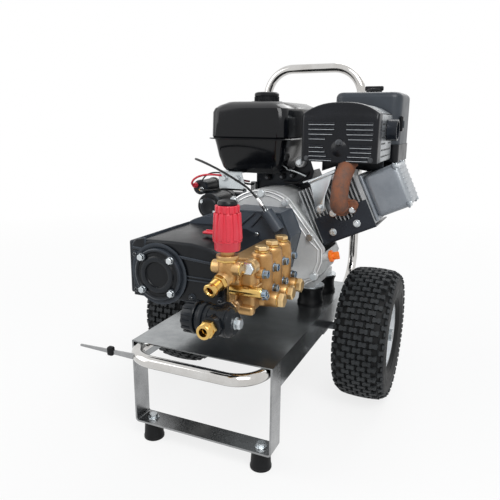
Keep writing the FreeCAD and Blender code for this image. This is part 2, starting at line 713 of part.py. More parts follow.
def exhaust_pipe():
    """Elbow from the port on the front of the head up into the silencer."""
    port = in_cylinder_frame(rod(V(EXHAUST_S, 0, 0), Y, 1, 1)).BoundBox.Center
    face = CYL_Y - FIN_HALF
    out = face - 30
    corners = [V(port.x, face - 7.2, port.z), V(port.x, out, port.z), V(PIPE_TOP.x, out, 566),
               V(PIPE_TOP.x, PIPE_TOP.y, 586), V(PIPE_TOP.x, PIPE_TOP.y, 614)]
    pipe = bent_tube(corners, [20, 20, 14], PIPE_R, PIPE_R - 2)
    flange = in_cylinder_frame(ring(V(EXHAUST_S, face - 7.2, 0), Y, FLANGE_R, PIPE_R - 2, 6))
    return fuse([pipe, flange])


def cleaner_base():
    x0, x1, y0, y1, z0, z1 = CLEANER
    tray = rounded(box(x0, x1, y0, y1, z0, z0 + 42), 14, Z)
    hollow = rounded(box(x0 + 4, x1 - 4, y0 + 4, y1 - 4, z0 + 4, z0 + 60), 10, Z)
    stud = rod(V(CLEANER_X, CLEANER_Y, z0 + 3), Z, 3, z1 - z0 + 6)
    element = ring(V(CLEANER_X, CLEANER_Y, z0 + 4), Z, 52, 34, 130)
    elbow = box(CARB[0] + 8, CARB[1] - 2, CARB[3] + 0.2, CARB[3] + 46, 524, z0 + 1)
    bore = rod(V(CARB[0] + 32, CARB[3] + 23, 536), Z, 16, z0 - 530)
    mouth = rod(V(CARB[0] + 32, CARB[3] - 1, 541), Y, 13, 24)
    return fuse([tray.cut(hollow), stud, element, elbow]).cut(fuse([bore, mouth]))




def cleaner_cover():
    x0, x1, y0, y1, z0, z1 = CLEANER
    outer = rounded(box(x0, x1, y0, y1, z0 + 42.3, z1), 14, Z)
    edges = [e for e in outer.Edges if e.BoundBox.ZMin > z1 - 0.1]
    outer = outer.makeFillet(10, edges)
    inner = rounded(box(x0 + 3, x1 - 3, y0 + 3, y1 - 3, z0 + 40, z1 - 3), 11, Z)
    return outer.cut(inner).cut(rod(V(CLEANER_X, CLEANER_Y, z1 - 20), Z, 3 + GAP, 40))


def cleaner_knob():
    z1 = CLEANER[5]
    base = V(CLEANER_X, CLEANER_Y, z1 + 0.4)
    wing = box(CLEANER_X - 24, CLEANER_X + 24, CLEANER_Y - 5, CLEANER_Y + 5, z1 + 6, z1 + 18)
    body = rod(base, Z, 20, 12).fuse(rounded(wing, 3, X))
    return body.cut(rod(base - Z, Z, 3 + RUN, 11))


def carburettor():
    """Float-bowl carburettor between the head's rear and the air cleaner's elbow."""
    x0, x1, y0, y1 = CARB
    body = box(x0, x1, y0, y1, 520, CARB_TOP)
    bowl = rod(V((x0 + x1) / 2, (y0 + y1) / 2, 492), Z, 19, 28)
    intake = box(x1 - 28, x1, CYL_Y + FIN_HALF + 0.3, y0, 524, 552)
    pin = rod(V(THROTTLE_AT.x, THROTTLE_AT.y, CARB_TOP), Z, 3, 6)
    return fuse([body, bowl, intake, pin])




def throttle_lever():
    hub = ring(THROTTLE_AT, Z, 8, 3 + RUN, 4)
    arm = box(THROTTLE_AT.x - 4, THROTTLE_AT.x + 4, THROTTLE_AT.y - 44, THROTTLE_AT.y - 6,
              THROTTLE_AT.z, THROTTLE_AT.z + 3)
    return fuse([hub, arm])


def starter_motor():
    """Electric starter with its solenoid above it."""
    motor = rod(V(-146, 320, 474), Y, 33, 110)
    nose = rod(V(-146, 316, 474), Y, 24, 5)
    clamp = box(-150, -106, CASE_REAR - 20.2, CASE_REAR - 14.2, 446, 496)
    solenoid = rod(V(-178, 330, 520), Y, 19, 84)
    link = box(-180, -150, 360, 400, 486, 512)
    return fuse([motor, nose, clamp, solenoid, link])


# ---------------------------------------------------------------- engine, turning parts
def crankshaft():
    centre = V(CRANK_X, 0, CRANK_Z)
    parts = [rod(centre + Y * (HOUSING_Y0 + 8), Y, SHAFT_R, FAN_Y1 - 10 - HOUSING_Y0 - 8)]
    for start in (CYL_Y - 31, CYL_Y + 15):
        web = rod(centre + Y * start, Y, 48, 16)
        parts.append(web)
    parts.append(rod(centre + V(32, CYL_Y - 20, 0), Y, 14, 40))
    return fuse(parts)


def flywheel():
    centre = V(CRANK_X, FAN_Y0 + 16, CRANK_Z)
    disc = rod(centre, Y, FLYWHEEL_R, 22)
    parts = [disc, rod(centre, Y, 30, 60)]
    for step in range(16):
        blade = box(34, FLYWHEEL_R - 4, 20, 48, -1.5, 1.5)
        blade.rotate(V(0, 0, 0), Y, step * 22.5)
        blade.translate(centre)
        parts.append(blade)
    return fuse(parts).cut(rod(centre - Y, Y, SHAFT_R, 90))


def spur_gear(teeth, centre, y0, width, bore, phase):
    """Spur gear with straight-flanked teeth, thinned for backlash."""
    pitch_r = GEAR_MODULE * teeth / 2.0
    step = 2 * math.pi / teeth
    half_tip = (0.36 * GEAR_MODULE) / (pitch_r + GEAR_MODULE)
    half_root = (1.15 * GEAR_MODULE) / (pitch_r - 1.25 * GEAR_MODULE) - GEAR_BACKLASH / pitch_r
    root_r = pitch_r - 1.25 * GEAR_MODULE
    tip_r = pitch_r + 0.9 * GEAR_MODULE
    outline = []
    for tooth in range(teeth):
        mid = phase + tooth * step
        for radius, offset in ((root_r, -half_root), (tip_r, -half_tip), (tip_r, half_tip),
                               (root_r, half_root)):
            angle = mid + offset
            outline.append((centre.x + radius * math.cos(angle), centre.z + radius * math.sin(angle)))
    return prism_xz(outline, y0, y0 + width).cut(rod(V(centre.x, y0 - 1, centre.z), Y, bore, width + 2))


def mesh_angle():
    return math.atan2(CRANK_Z - PUMP_Z, CRANK_X - PUMP_X)


def drive_gear():
    return spur_gear(GEAR_TEETH, V(PUMP_X, 0, PUMP_Z), HOUSING_Y0 + 26, GEAR_FACE, PUMP_SHAFT_R,
                     mesh_angle())


def pinion():
    toward = mesh_angle() + math.pi
    return spur_gear(PINION_TEETH, V(CRANK_X, 0, CRANK_Z), HOUSING_Y0 + 24, GEAR_FACE + 4, SHAFT_R,
                     toward + math.pi / PINION_TEETH)


# ---------------------------------------------------------------- reduction gear and pump
def housing_outline(grow):
    gear = rod(V(PUMP_X, 0, PUMP_Z), Y, 84.0 + grow, 1)
    small = rod(V(CRANK_X, 0, CRANK_Z), Y, 60.0 + grow, 1)
    roof = prism_xz([(PUMP_X - 30, 455 + grow), (-34, 492 + grow), (88 + grow, 492 + grow),
                     (112 + grow, 440), (92 + grow, 352), (30, 330 - grow), (PUMP_X, 320)], 0, 1)
    return fuse([gear, small, roof])


def gear_housing():
    def slab(grow, y0, y1):
        face = [f for f in housing_outline(grow).Faces
                if abs(f.normalAt(0, 0).y + 1) < 1e-6 and f.BoundBox.YMax < 0.01]
        shapes = []
        for item in face:
            solid = item.extrude(V(0, y1 - y0, 0))
            solid.translate(V(0, y0, 0))
            shapes.append(solid)
        return fuse(shapes) if len(shapes) > 1 else shapes[0]
    outer = slab(0, HOUSING_Y0, HOUSING_Y1 - 0.2)
    inner = slab(-HOUSING_WALL, HOUSING_Y0 + 8, HOUSING_Y1 - 8)
    body = outer.cut(inner)
    body = body.cut(rod(V(PUMP_X, HOUSING_Y0 - 1, PUMP_Z), Y, PUMP_SHAFT_R + RUN, 20))
    body = body.cut(rod(V(CRANK_X, HOUSING_Y1 - 20, CRANK_Z), Y, SHAFT_R + RUN, 30))
    for x, z in COVER_BOLTS:
        body = body.cut(rod(V(x, HOUSING_Y1 - 12, z), Y, 8, 20))
    return body


def pump_shaft():
    centre = V(PUMP_X, 0, PUMP_Z)
    parts = [rod(centre + Y * (PUMP_Y0 + 6), Y, PUMP_SHAFT_R, HOUSING_Y0 + 66 - PUMP_Y0 - 6)]
    for index, angle in enumerate((0, 120, 240)):
        turn = math.radians(angle)
        at = V(PUMP_X + 6 * math.cos(turn), COLUMN_Y - 12 + index * COLUMN_PITCH, PUMP_Z + 6 * math.sin(turn))
        parts.append(rod(at, Y, 27, 24))
    return fuse(parts)


def pump_outline(grow):
    return [(CASE_X0 - grow, 332 - grow), (CASE_X0 - grow, 440), (CASE_X0 + 12, 450 + grow),
            (-22, 454 + grow),
            (12, 449 + grow), (38, 436 + grow), (CASE_X1 + grow, 420), (CASE_X1 + grow, 340),
            (40, 332 - grow)]


def pump_crankcase():
    outer = prism_xz(pump_outline(0), PUMP_Y0, HOUSING_Y0 - 0.2)
    inner = prism_xz(pump_outline(-9), PUMP_Y0 + 12, HOUSING_Y0 - 12)
    body = outer.cut(inner)
    rib_low = prism_xz([(CASE_X0, 432), (CASE_X0, 436), (CASE_X1, 420), (CASE_X1, 416)],
                       PUMP_Y0 - 3, PUMP_Y0 + 2)
    body = fuse([body, rib_low])
    body = body.cut(rod(V(PUMP_X, PUMP_Y0 - 5, PUMP_Z), Y, BOSS_R - 8, 30))
    body = body.cut(rod(V(PUMP_X, HOUSING_Y0 - 20, PUMP_Z), Y, PUMP_SHAFT_R + RUN, 30))
    for index in range(3):
        bore = V(CASE_X1 - 20, COLUMN_Y + index * COLUMN_PITCH, PLUNGER_Z)
        body = body.cut(rod(bore, X, PLUNGER_R + 0.1, 40))
    body = body.cut(rod(V(OIL_X, OIL_Y, 430), Z, 8 + RUN, 40))
    boss = ring(V(OIL_X, OIL_Y, 440), Z, 13, 8 + RUN, 18)
    for x, z in BEARING_BOLTS:
        body = body.cut(rod(V(x, PUMP_Y0 - 5, z), Y, 4.1, 40))
    return fuse([body, boss])




def pump_covers():
    """Round bearing cover at the front and the flat sump cover at the left end."""
    front = rod(V(PUMP_X, 0, PUMP_Z), Y, BOSS_R, PUMP_Y0 - 3.2)
    spigot = rod(V(PUMP_X, PUMP_Y0 - 4, PUMP_Z), Y, BOSS_R - 8.1, 10)
    front = fuse([front, spigot]).cut(rod(V(PUMP_X, PUMP_Y0 + 2, PUMP_Z), Y, PUMP_SHAFT_R + RUN, 20))
    front = front.cut(rod(V(PUMP_X, -1, PUMP_Z), Y, 26, 5))
    for x, z in BEARING_BOLTS:
        front = front.cut(rod(V(x, -1, z), Y, 4.1, 40))
    side = rounded(box(CASE_X0 - 12, CASE_X0 - 0.1, PUMP_Y0 + 4, HOUSING_Y0 - 4, 334, 446), 10, X)
    return group([front, side])


def cap_screws():
    """Black screws of the pump's bearing cover."""
    screws = []
    for x, z in BEARING_BOLTS:
        screws.append(fuse([rod(V(x, -5, z), Y, 6.5, 5), rod(V(x, -1, z), Y, 4, 34)]))
    return screws


def plungers():
    rods = []
    for index in range(3):
        y = COLUMN_Y + index * COLUMN_PITCH
        rods.append(rod(V(-12, y, PLUNGER_Z), X, PLUNGER_R, HEAD_X0 + 34 + 12))
    return group(rods)


def column_ys():
    return [COLUMN_Y + index * COLUMN_PITCH for index in range(3)]


def pump_head():
    y1 = HOUSING_Y0 - 1
    parts = [box(HEAD_X0, HEAD_X1 - 16, HEAD_Y0, y1, HEAD_Z0 + 6, HEAD_Z1 - 8)]
    for y in column_ys():
        parts.append(rod(V(HEAD_X1 - 22, y, HEAD_Z0 + 12), Z, 22, HEAD_Z1 - HEAD_Z0 - 12))
        parts.append(rod(V(HEAD_X0 + 14, y, HEAD_Z0 + 22), X, 15.5, HEAD_X1 - HEAD_X0 + 2))
    for y in HEAD_BOLT_Y:
        for z in BOLT_Z:
            parts.append(rod(V(HEAD_X0 + 2, y, z), X, 10, HEAD_X1 - HEAD_X0 - 8))
    body = fuse(parts)
    for y in column_ys():
        body = body.cut(rod(V(HEAD_X0 - 1, y, PLUNGER_Z), X, PLUNGER_R + 0.1, 48))
        body = body.cut(rod(V(HEAD_X1 - 22, y, HEAD_Z1 - 16), Z, 12, 20))
        body = body.cut(rod(V(HEAD_X1 - 8, y, HEAD_Z0 + 22), X, 12, 30))
    for y in HEAD_BOLT_Y:
        for z in BOLT_Z:
            body = body.cut(rod(V(HEAD_X0 - 1, y, z), X, 5.1, HEAD_X1))
    body = body.cut(rod(V(UNLOADER_X + 8, HEAD_Y0 - 1, UNLOADER_LINK_Z), Y, 8.1, 24))
    return body.cut(rod(V(INLET_X, HEAD_Y0 - 1, FILTER_Z + 8), Y, 8.1, 24))




def valve_caps():
    caps = []
    for y in column_ys():
        top = V(HEAD_X1 - 22, y, HEAD_Z1)
        caps.append(fuse([rod(top, Z, 15, 3), hexagon(top + Z * 3, Z, 24, 9),
                          rod(top - Z * 14, Z, 11.9, 14)]))
        side = V(HEAD_X1 + 16, y, HEAD_Z0 + 22)
        caps.append(fuse([hexagon(side, X, 26, 12), rod(side - X * 22, X, 11.9, 22)]))
    return group(caps)


def head_bolts():
    bolts = []
    for y in HEAD_BOLT_Y:
        for z in BOLT_Z:
            seat = HEAD_X1 - 6
            head = rod(V(seat, y, z), X, BOLT_HEAD_R, BOLT_HEAD_L)
            shank = rod(V(HEAD_X0 + 4, y, z), X, 5, seat - HEAD_X0 - 3)
            socket = hexagon(V(seat + 5, y, z), X, 8, 6)
            bolts.append(fuse([head, shank]).cut(socket))
    return group(bolts + cap_screws())


def unloader_body():
    at = V(UNLOADER_X, UNLOADER_Y, 0)
    parts = [rod(at + Z * 398, Z, 16, KNOB_Z0 - 1 - 398), rod(at + Z * (KNOB_Z0 - 16), Z, 21, 8)]
    parts.append(rod(at + Z * (KNOB_Z0 - 5), Z, 6, KNOB_Z1 - KNOB_Z0 + 4))
    parts.append(rod(V(UNLOADER_X - 28, UNLOADER_Y, 424), X, 12, 56))
    parts.append(rod(V(UNLOADER_X + 8, UNLOADER_Y, UNLOADER_LINK_Z), Y, 10, HEAD_Y0 - UNLOADER_Y - 0.2))
    parts.append(rod(V(UNLOADER_X + 8, UNLOADER_Y, UNLOADER_LINK_Z), Y, 8, HEAD_Y0 - UNLOADER_Y + 14))
    parts.append(rod(OUTLET_AT, -OUTLET_AXIS, 15, 30))
    body = fuse(parts)
    return body.cut(rod(OUTLET_AT - OUTLET_AXIS * 12, OUTLET_AXIS, 8.1, 20))




def brass_nipples():
    """Outlet nipple on the unloader and the threaded pipe from the filter to the head."""
    start = OUTLET_AT - OUTLET_AXIS * 11
    outlet = fuse([rod(start, OUTLET_AXIS, 8, 12), hexagon(OUTLET_AT + OUTLET_AXIS * 0.2, OUTLET_AXIS, 24, 9),
                   rod(OUTLET_AT + OUTLET_AXIS * 9, OUTLET_AXIS, OUTLET_R, 18)])
    outlet = outlet.cut(rod(start - OUTLET_AXIS, OUTLET_AXIS, 5.5, 60))
    begin = V(INLET_X, FILTER_Y + 24.2, FILTER_Z + 8)
    length = HEAD_Y0 + 12 - begin.y
    inlet = fuse([rod(begin, Y, 8, length), rod(begin + Y * 10.2, Y, 10.5, 28),
                  hexagon(begin + Y * 20, Y, 22, 10)])
    return group([outlet, inlet.cut(rod(begin - Y, Y, 6, length + 2))])




def unloader_knob():
    """Ribbed pressure knob, slightly barrel shaped, bored for the spindle."""
    at = V(UNLOADER_X, UNLOADER_Y, KNOB_Z0)
    height = KNOB_Z1 - KNOB_Z0
    body = revolve_along([(0, 0), (KNOB_R, 0), (KNOB_R + 2, 12), (KNOB_R + 1.5, 30),
                          (KNOB_R - 2, height), (0, height)], at, Z)
    for step in range(12):
        groove = rod(V(KNOB_R + 3.2, 0, -1), Z, 3, height + 2)
        groove.rotate(V(0, 0, 0), Z, step * 30)
        groove.translate(at)
        body = body.cut(groove)
    cap = rod(at + Z * height, Z, KNOB_R - 6, 7)
    body = fuse([body, cap])
    bore = fuse([rod(at - Z, Z, 6 + RUN, height + 2), rod(at - Z, Z, 21 + GAP, 1)])
    return body.cut(bore)


def filter_body():
    """Black housing of the water filter, with a socket for the inlet and one for the pipe."""
    barrel = rod(V(FILTER_X0, FILTER_Y, FILTER_Z), X, 27, FILTER_X1 - FILTER_X0)
    rim_end = rod(V(FILTER_X0 + 8, FILTER_Y, FILTER_Z), X, 30, 8)
    inlet = rod(V(INLET_X, INLET_FRONT + 24, FILTER_Z), Y, 19, FILTER_Y - INLET_FRONT - 24)
    outlet = rod(V(INLET_X, FILTER_Y, FILTER_Z + 8), Y, 16, 34)
    end_cap = rod(V(FILTER_X1, FILTER_Y, FILTER_Z), X, 22, 4)
    body = fuse([barrel, rim_end, inlet, outlet, end_cap])
    body = body.cut(rod(V(FILTER_X0 - 1, FILTER_Y, FILTER_Z), X, 22, FILTER_X1 - FILTER_X0 - 5))
    body = body.cut(rod(V(INLET_X, INLET_FRONT + 20, FILTER_Z), Y, 9, 40))
    body = body.cut(rod(V(INLET_X, FILTER_Y + 24, FILTER_Z + 8), Y, 8.1, 20))
    body = body.cut(rod(V(INLET_X, FILTER_Y + 15, FILTER_Z + 8), Y, 6, 20))
    return body.cut(fuse([rod(V(INLET_X, INLET_FRONT + 23, FILTER_Z), Y, 11 + RUN, 12)]))




def filter_cap():
    """Ribbed screw bowl at the left of the filter."""
    at = V(FILTER_X0 - 0.4, FILTER_Y, FILTER_Z)
    bowl = rod(at, X * -1, 31, 28).cut(rod(at + X, X * -1, 22, 24))
    parts = [bowl]
    for step in range(10):
        rib = box(-26, -2, 29, 33, -3, 3)
        rib.rotate(V(0, 0, 0), X, step * 36)
        rib.translate(at)
        parts.append(rib)
    return fuse(parts)


def filter_screen():
    return ring(V(FILTER_X0 - 22, FILTER_Y, FILTER_Z), X, 15, 13.5, FILTER_X1 - FILTER_X0 + 15.7)


def inlet_fitting():
    """Brass hose coupling that turns in the filter's socket."""
    face = INLET_FRONT + 24 - 0.5
    start = V(INLET_X, INLET_FRONT, FILTER_Z)
    parts = [rod(start, Y, 14, 14), hexagon(start + Y * 10, Y, 30, face - INLET_FRONT - 10)]
    parts.append(rod(start + Y * 20, Y, 11, 13))
    return fuse(parts).cut(rod(start - Y, Y, 8, 50))


def oil_cap():
    """Red vented filler cap of the pump."""
    at = V(OIL_X, OIL_Y, 458.3)
    plug = rod(at - Z * 14, Z, 8, 15)
    head = rod(at, Z, 11, 6)
    flag = rounded(box(OIL_X - 20, OIL_X + 4, OIL_Y - 4, OIL_Y + 4, at.z + 2, at.z + 6), 1.5, Z)
    return fuse([plug, head, flag])




def throttle_actuator():
    """Small hydraulic ram that lowers the engine speed when the gun is shut."""
    axis = (ACT_END - ACT_START).normalize()
    body = rod(ACT_START, axis, ACT_R, (ACT_END - ACT_START).Length)
    stem = rod(ACT_START - axis * 14, axis, 4, 15)
    nut = hexagon(ACT_START - axis * 5, axis, 11, 5)
    return fuse([body, stem, nut])


def cable_points():
    axis = (ACT_END - ACT_START).normalize()
    top = ACT_START - axis * 14
    return [top, top - axis * 40, V(-20, 207, 562), V(-72, 220, 582), V(-122, 242, 594), V(-160, 275, 597),
            V(-172, 322, 590), V(-160, 362, 574), V(-128, 380, 552), V(-92, 386, 534), V(-72, 408, 525),
            CABLE_END]


def throttle_cable():
    points = cable_points()
    bends = []
    for index in range(1, len(points) - 1):
        back = points[index - 1] - points[index]
        ahead = points[index + 1] - points[index]
        turn = math.pi - back.getAngle(ahead)
        bends.append(0.45 * min(back.Length, ahead.Length) / math.tan(turn / 2.0))
    print("cable radii", [round(bend) for bend in bends])
    return bent_tube(points, bends, CABLE_R, 0)


# ---------------------------------------------------------------- output
def parts_table():
    return {
        "deck": deck(), "foot_bracket": foot_bracket(), "rubber_feet": rubber_feet(),
        "front_tube": front_tube(), "handle_tube": handle_tube(), "axle": axle(),
        "lance_rest": lance_rest(), "zinc_bolts": zinc_bolts(), "engine_mounts": engine_mounts(),
        "left_tyre": tyre(-1), "left_rim": rim(-1), "left_bearings": bearings(-1),
        "right_tyre": tyre(1), "right_rim": rim(1), "right_bearings": bearings(1),
        "crankcase": crankcase(), "side_cover": side_cover(), "dipstick": dipstick(),
        "cylinder": cylinder(), "cylinder_head": cylinder_head(), "valve_cover": valve_cover(),
        "piston": piston(), "cylinder_shroud": cylinder_shroud(), "fan_housing": fan_housing(),
        "recoil_housing": recoil_housing(), "recoil_handle": recoil_handle(),
        "fuel_tank": fuel_tank(), "fuel_cap": fuel_cap(), "fuel_gasket": fuel_gasket(), "muffler": muffler(),
        "muffler_guard": muffler_guard(), "exhaust_pipe": exhaust_pipe(),
        "cleaner_base": cleaner_base(), "cleaner_cover": cleaner_cover(),
        "cleaner_knob": cleaner_knob(), "carburettor": carburettor(),
        "throttle_lever": throttle_lever(), "starter_motor": starter_motor(),
        "crankshaft": crankshaft(), "flywheel": flywheel(), "pinion": pinion(),
        "drive_gear": drive_gear(), "gear_housing": gear_housing(), "pump_shaft": pump_shaft(),
        "pump_crankcase": pump_crankcase(), "pump_covers": pump_covers(), "plungers": plungers(),
        "pump_head": pump_head(), "valve_caps": valve_caps(), "head_bolts": head_bolts(),
        "unloader_body": unloader_body(), "brass_nipples": brass_nipples(),
        "unloader_knob": unloader_knob(), "filter_body": filter_body(),
        "filter_cap": filter_cap(), "filter_screen": filter_screen(),
        "inlet_fitting": inlet_fitting(), "oil_cap": oil_cap(),
        "throttle_actuator": throttle_actuator(), "throttle_cable": throttle_cable(),
    }


def main():
    os.makedirs("parts", exist_ok=True)
    for name, shape in parts_table().items():
        placed = shape.translated(ORIGIN * -1.0)
        placed.exportStep("parts/" + name + ".step")
        print(name, len(placed.Solids), "solids", round(placed.Volume / 1000.0, 1), "cm3", placed.isValid())


main()
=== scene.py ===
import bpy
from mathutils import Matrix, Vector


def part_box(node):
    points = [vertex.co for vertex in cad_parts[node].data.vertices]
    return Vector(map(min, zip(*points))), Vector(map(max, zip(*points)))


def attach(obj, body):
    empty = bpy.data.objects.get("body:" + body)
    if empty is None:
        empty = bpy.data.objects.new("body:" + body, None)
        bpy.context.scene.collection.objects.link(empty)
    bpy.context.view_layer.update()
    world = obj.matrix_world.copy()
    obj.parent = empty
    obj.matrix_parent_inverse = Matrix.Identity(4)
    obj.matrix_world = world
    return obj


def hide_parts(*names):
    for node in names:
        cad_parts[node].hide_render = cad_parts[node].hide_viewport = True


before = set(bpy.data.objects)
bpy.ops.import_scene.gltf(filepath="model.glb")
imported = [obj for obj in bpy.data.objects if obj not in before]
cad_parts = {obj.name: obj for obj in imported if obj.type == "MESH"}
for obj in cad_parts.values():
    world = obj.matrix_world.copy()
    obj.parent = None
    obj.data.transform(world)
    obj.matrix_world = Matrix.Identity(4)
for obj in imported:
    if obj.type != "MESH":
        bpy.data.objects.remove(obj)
"""Looks of an engine-driven pressure washer on a two-wheeled stainless cart.

Every measure is in millimetres in the cart's own frame: x = 0 at the middle of the deck,
y = 0 at the deck's front edge, z = 0 on the ground. Maker turns them to metres in the row frame.
"""
import logging
import math
import random
from dataclasses import dataclass, field
from enum import Enum
from typing import Callable, Iterable, Sequence

import bmesh
import bpy
from mathutils import Matrix, Vector

log = logging.getLogger("pressure_washer")
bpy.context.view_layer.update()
MM = 0.001
DECK_LOW, DECK_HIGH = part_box("deck")
CART = Vector(((DECK_LOW.x + DECK_HIGH.x) / 2, DECK_LOW.y, 0))
Point = Sequence[float]
TURN = 2 * math.pi
X, Y, Z = Vector((1, 0, 0)), Vector((0, 1, 0)), Vector((0, 0, 1))


def place(point: Point) -> Vector:
    """Cart millimetres to metres in the row frame."""
    return Vector(point) * MM + CART


def linear(colour: str) -> tuple[float, float, float, float]:
    """An sRGB hex colour as linear RGBA."""
    parts = [int(colour[i:i + 2], 16) / 255 for i in (1, 3, 5)]
    return tuple(c / 12.92 if c <= 0.04045 else ((c + 0.055) / 1.055) ** 2.4 for c in parts) + (1.0,)


class Grain(Enum):
    """How a finish's surface was made, which decides its pattern."""

    PLAIN = "moulded or enamelled, almost smooth"
    SAND = "cast or forged, with an even sandy tooth"
    BRUSHED = "drawn along X, with long fine streaks"
    TURNED = "turned or rolled, with faint rings"
    STAINED = "heated or rusted, in soft patches"


@dataclass(frozen=True)
class Finish:
    """One real surface finish and how it is drawn.

    colour and second are the two tones that the pattern mixes. size is the pattern's real size
    in millimetres, tooth the height of its bump in millimetres. edge_highlight, where given, is a painted
    highlight: a lighter colour laid on the sharp convex edges.
    """

    name: str
    colour: str
    second: str
    rough: float
    metal: float = 0.0
    grain: Grain = Grain.PLAIN
    size: float = 2.0
    tooth: float = 0.02
    coat: float = 0.0
    sway: float = 0.06
    edge_highlight: str = ""
    spec: float = 0.5

    def make(self) -> bpy.types.Material:
        """Build the material once and return it.

        Returns:
            The node material, shared by all pieces of this finish.
        """
        found = bpy.data.materials.get(self.name)
        if found:
            return found
        material = bpy.data.materials.new(self.name)
        material.use_nodes = True
        tree = material.node_tree
        shader = tree.nodes["Principled BSDF"]
        shader.inputs["Metallic"].default_value = self.metal
        shader.inputs["Coat Weight"].default_value = self.coat
        shader.inputs["Specular IOR Level"].default_value = self.spec
        shader.inputs["Coat Roughness"].default_value = 0.08
        coords = add(tree, "ShaderNodeTexCoord")
        stretch = (1.0, 1.0, 1.0)
        if self.grain is Grain.BRUSHED:
            stretch = (0.02, 1.0, 1.0)
        mapping = add(tree, "ShaderNodeMapping", {"Scale": stretch}, {"Vector": coords.outputs["Object"]})
        fine = add(tree, "ShaderNodeTexNoise", {"Scale": 1 / (self.size * MM), "Detail": 3.0, "Roughness": 0.6},
                   {"Vector": mapping.outputs["Vector"]})
        broad_scale = 22.0 if self.grain is not Grain.STAINED else 45.0
        broad = add(tree, "ShaderNodeTexNoise", {"Scale": broad_scale, "Detail": 5.0, "Roughness": 0.65},
                    {"Vector": coords.outputs["Object"]})
        blend = add(tree, "ShaderNodeMath", {"operation": "MULTIPLY_ADD", 1: 0.45},
                    {0: fine.outputs["Fac"], 2: broad.outputs["Fac"]})
        spread = add(tree, "ShaderNodeMapRange", {"From Min": 0.5, "From Max": 0.95}, {"Value": blend.outputs[0]})
        tone = add(tree, "ShaderNodeMix", {"data_type": "RGBA", 6: linear(self.colour), 7: linear(self.second)},
                   {0: spread.outputs[0]})
        colour_out = tone.outputs[2]
        # Painted highlight: sharp convex edges, found by pointiness, take the lighter edge_highlight colour.
        if self.edge_highlight:
            geometry = add(tree, "ShaderNodeNewGeometry")
            edge = add(tree, "ShaderNodeMapRange", {"From Min": 0.53, "From Max": 0.62, "To Max": 0.8},
                       {"Value": geometry.outputs["Pointiness"]})
            edge_lit = add(tree, "ShaderNodeMix", {"data_type": "RGBA", 7: linear(self.edge_highlight)},
                         {0: edge.outputs[0], 6: colour_out})
            colour_out = edge_lit.outputs[2]
        tree.links.new(colour_out, shader.inputs["Base Color"])
        gloss = add(tree, "ShaderNodeMapRange", {"From Min": 0.3, "From Max": 0.7,
                                                 "To Min": max(0.03, self.rough - self.sway),
                                                 "To Max": self.rough + self.sway},
                    {"Value": broad.outputs["Fac"]})
        tree.links.new(gloss.outputs[0], shader.inputs["Roughness"])
        bump = add(tree, "ShaderNodeBump", {"Strength": 0.6, "Distance": self.tooth * MM},
                   {"Height": fine.outputs["Fac"]})
        tree.links.new(bump.outputs["Normal"], shader.inputs["Normal"])
        return material


def add(tree: bpy.types.NodeTree, kind: str, values: dict | None = None, links: dict | None = None) -> bpy.types.Node:
    """Add a node, set its properties and sockets, and link its inputs.

    Args:
        tree: The material's node tree.
        kind: The node's type name.
        values: Property names, or socket names and numbers, with their values.
        links: Input names or numbers with the output sockets that feed them.

    Returns:
        The new node.
    """
    made = tree.nodes.new(kind)
    for key, value in (values or {}).items():
        if isinstance(key, str) and hasattr(made, key):
            setattr(made, key, value)
        else:
            made.inputs[key].default_value = value
    for key, socket in (links or {}).items():
        tree.links.new(socket, made.inputs[key])
    return made


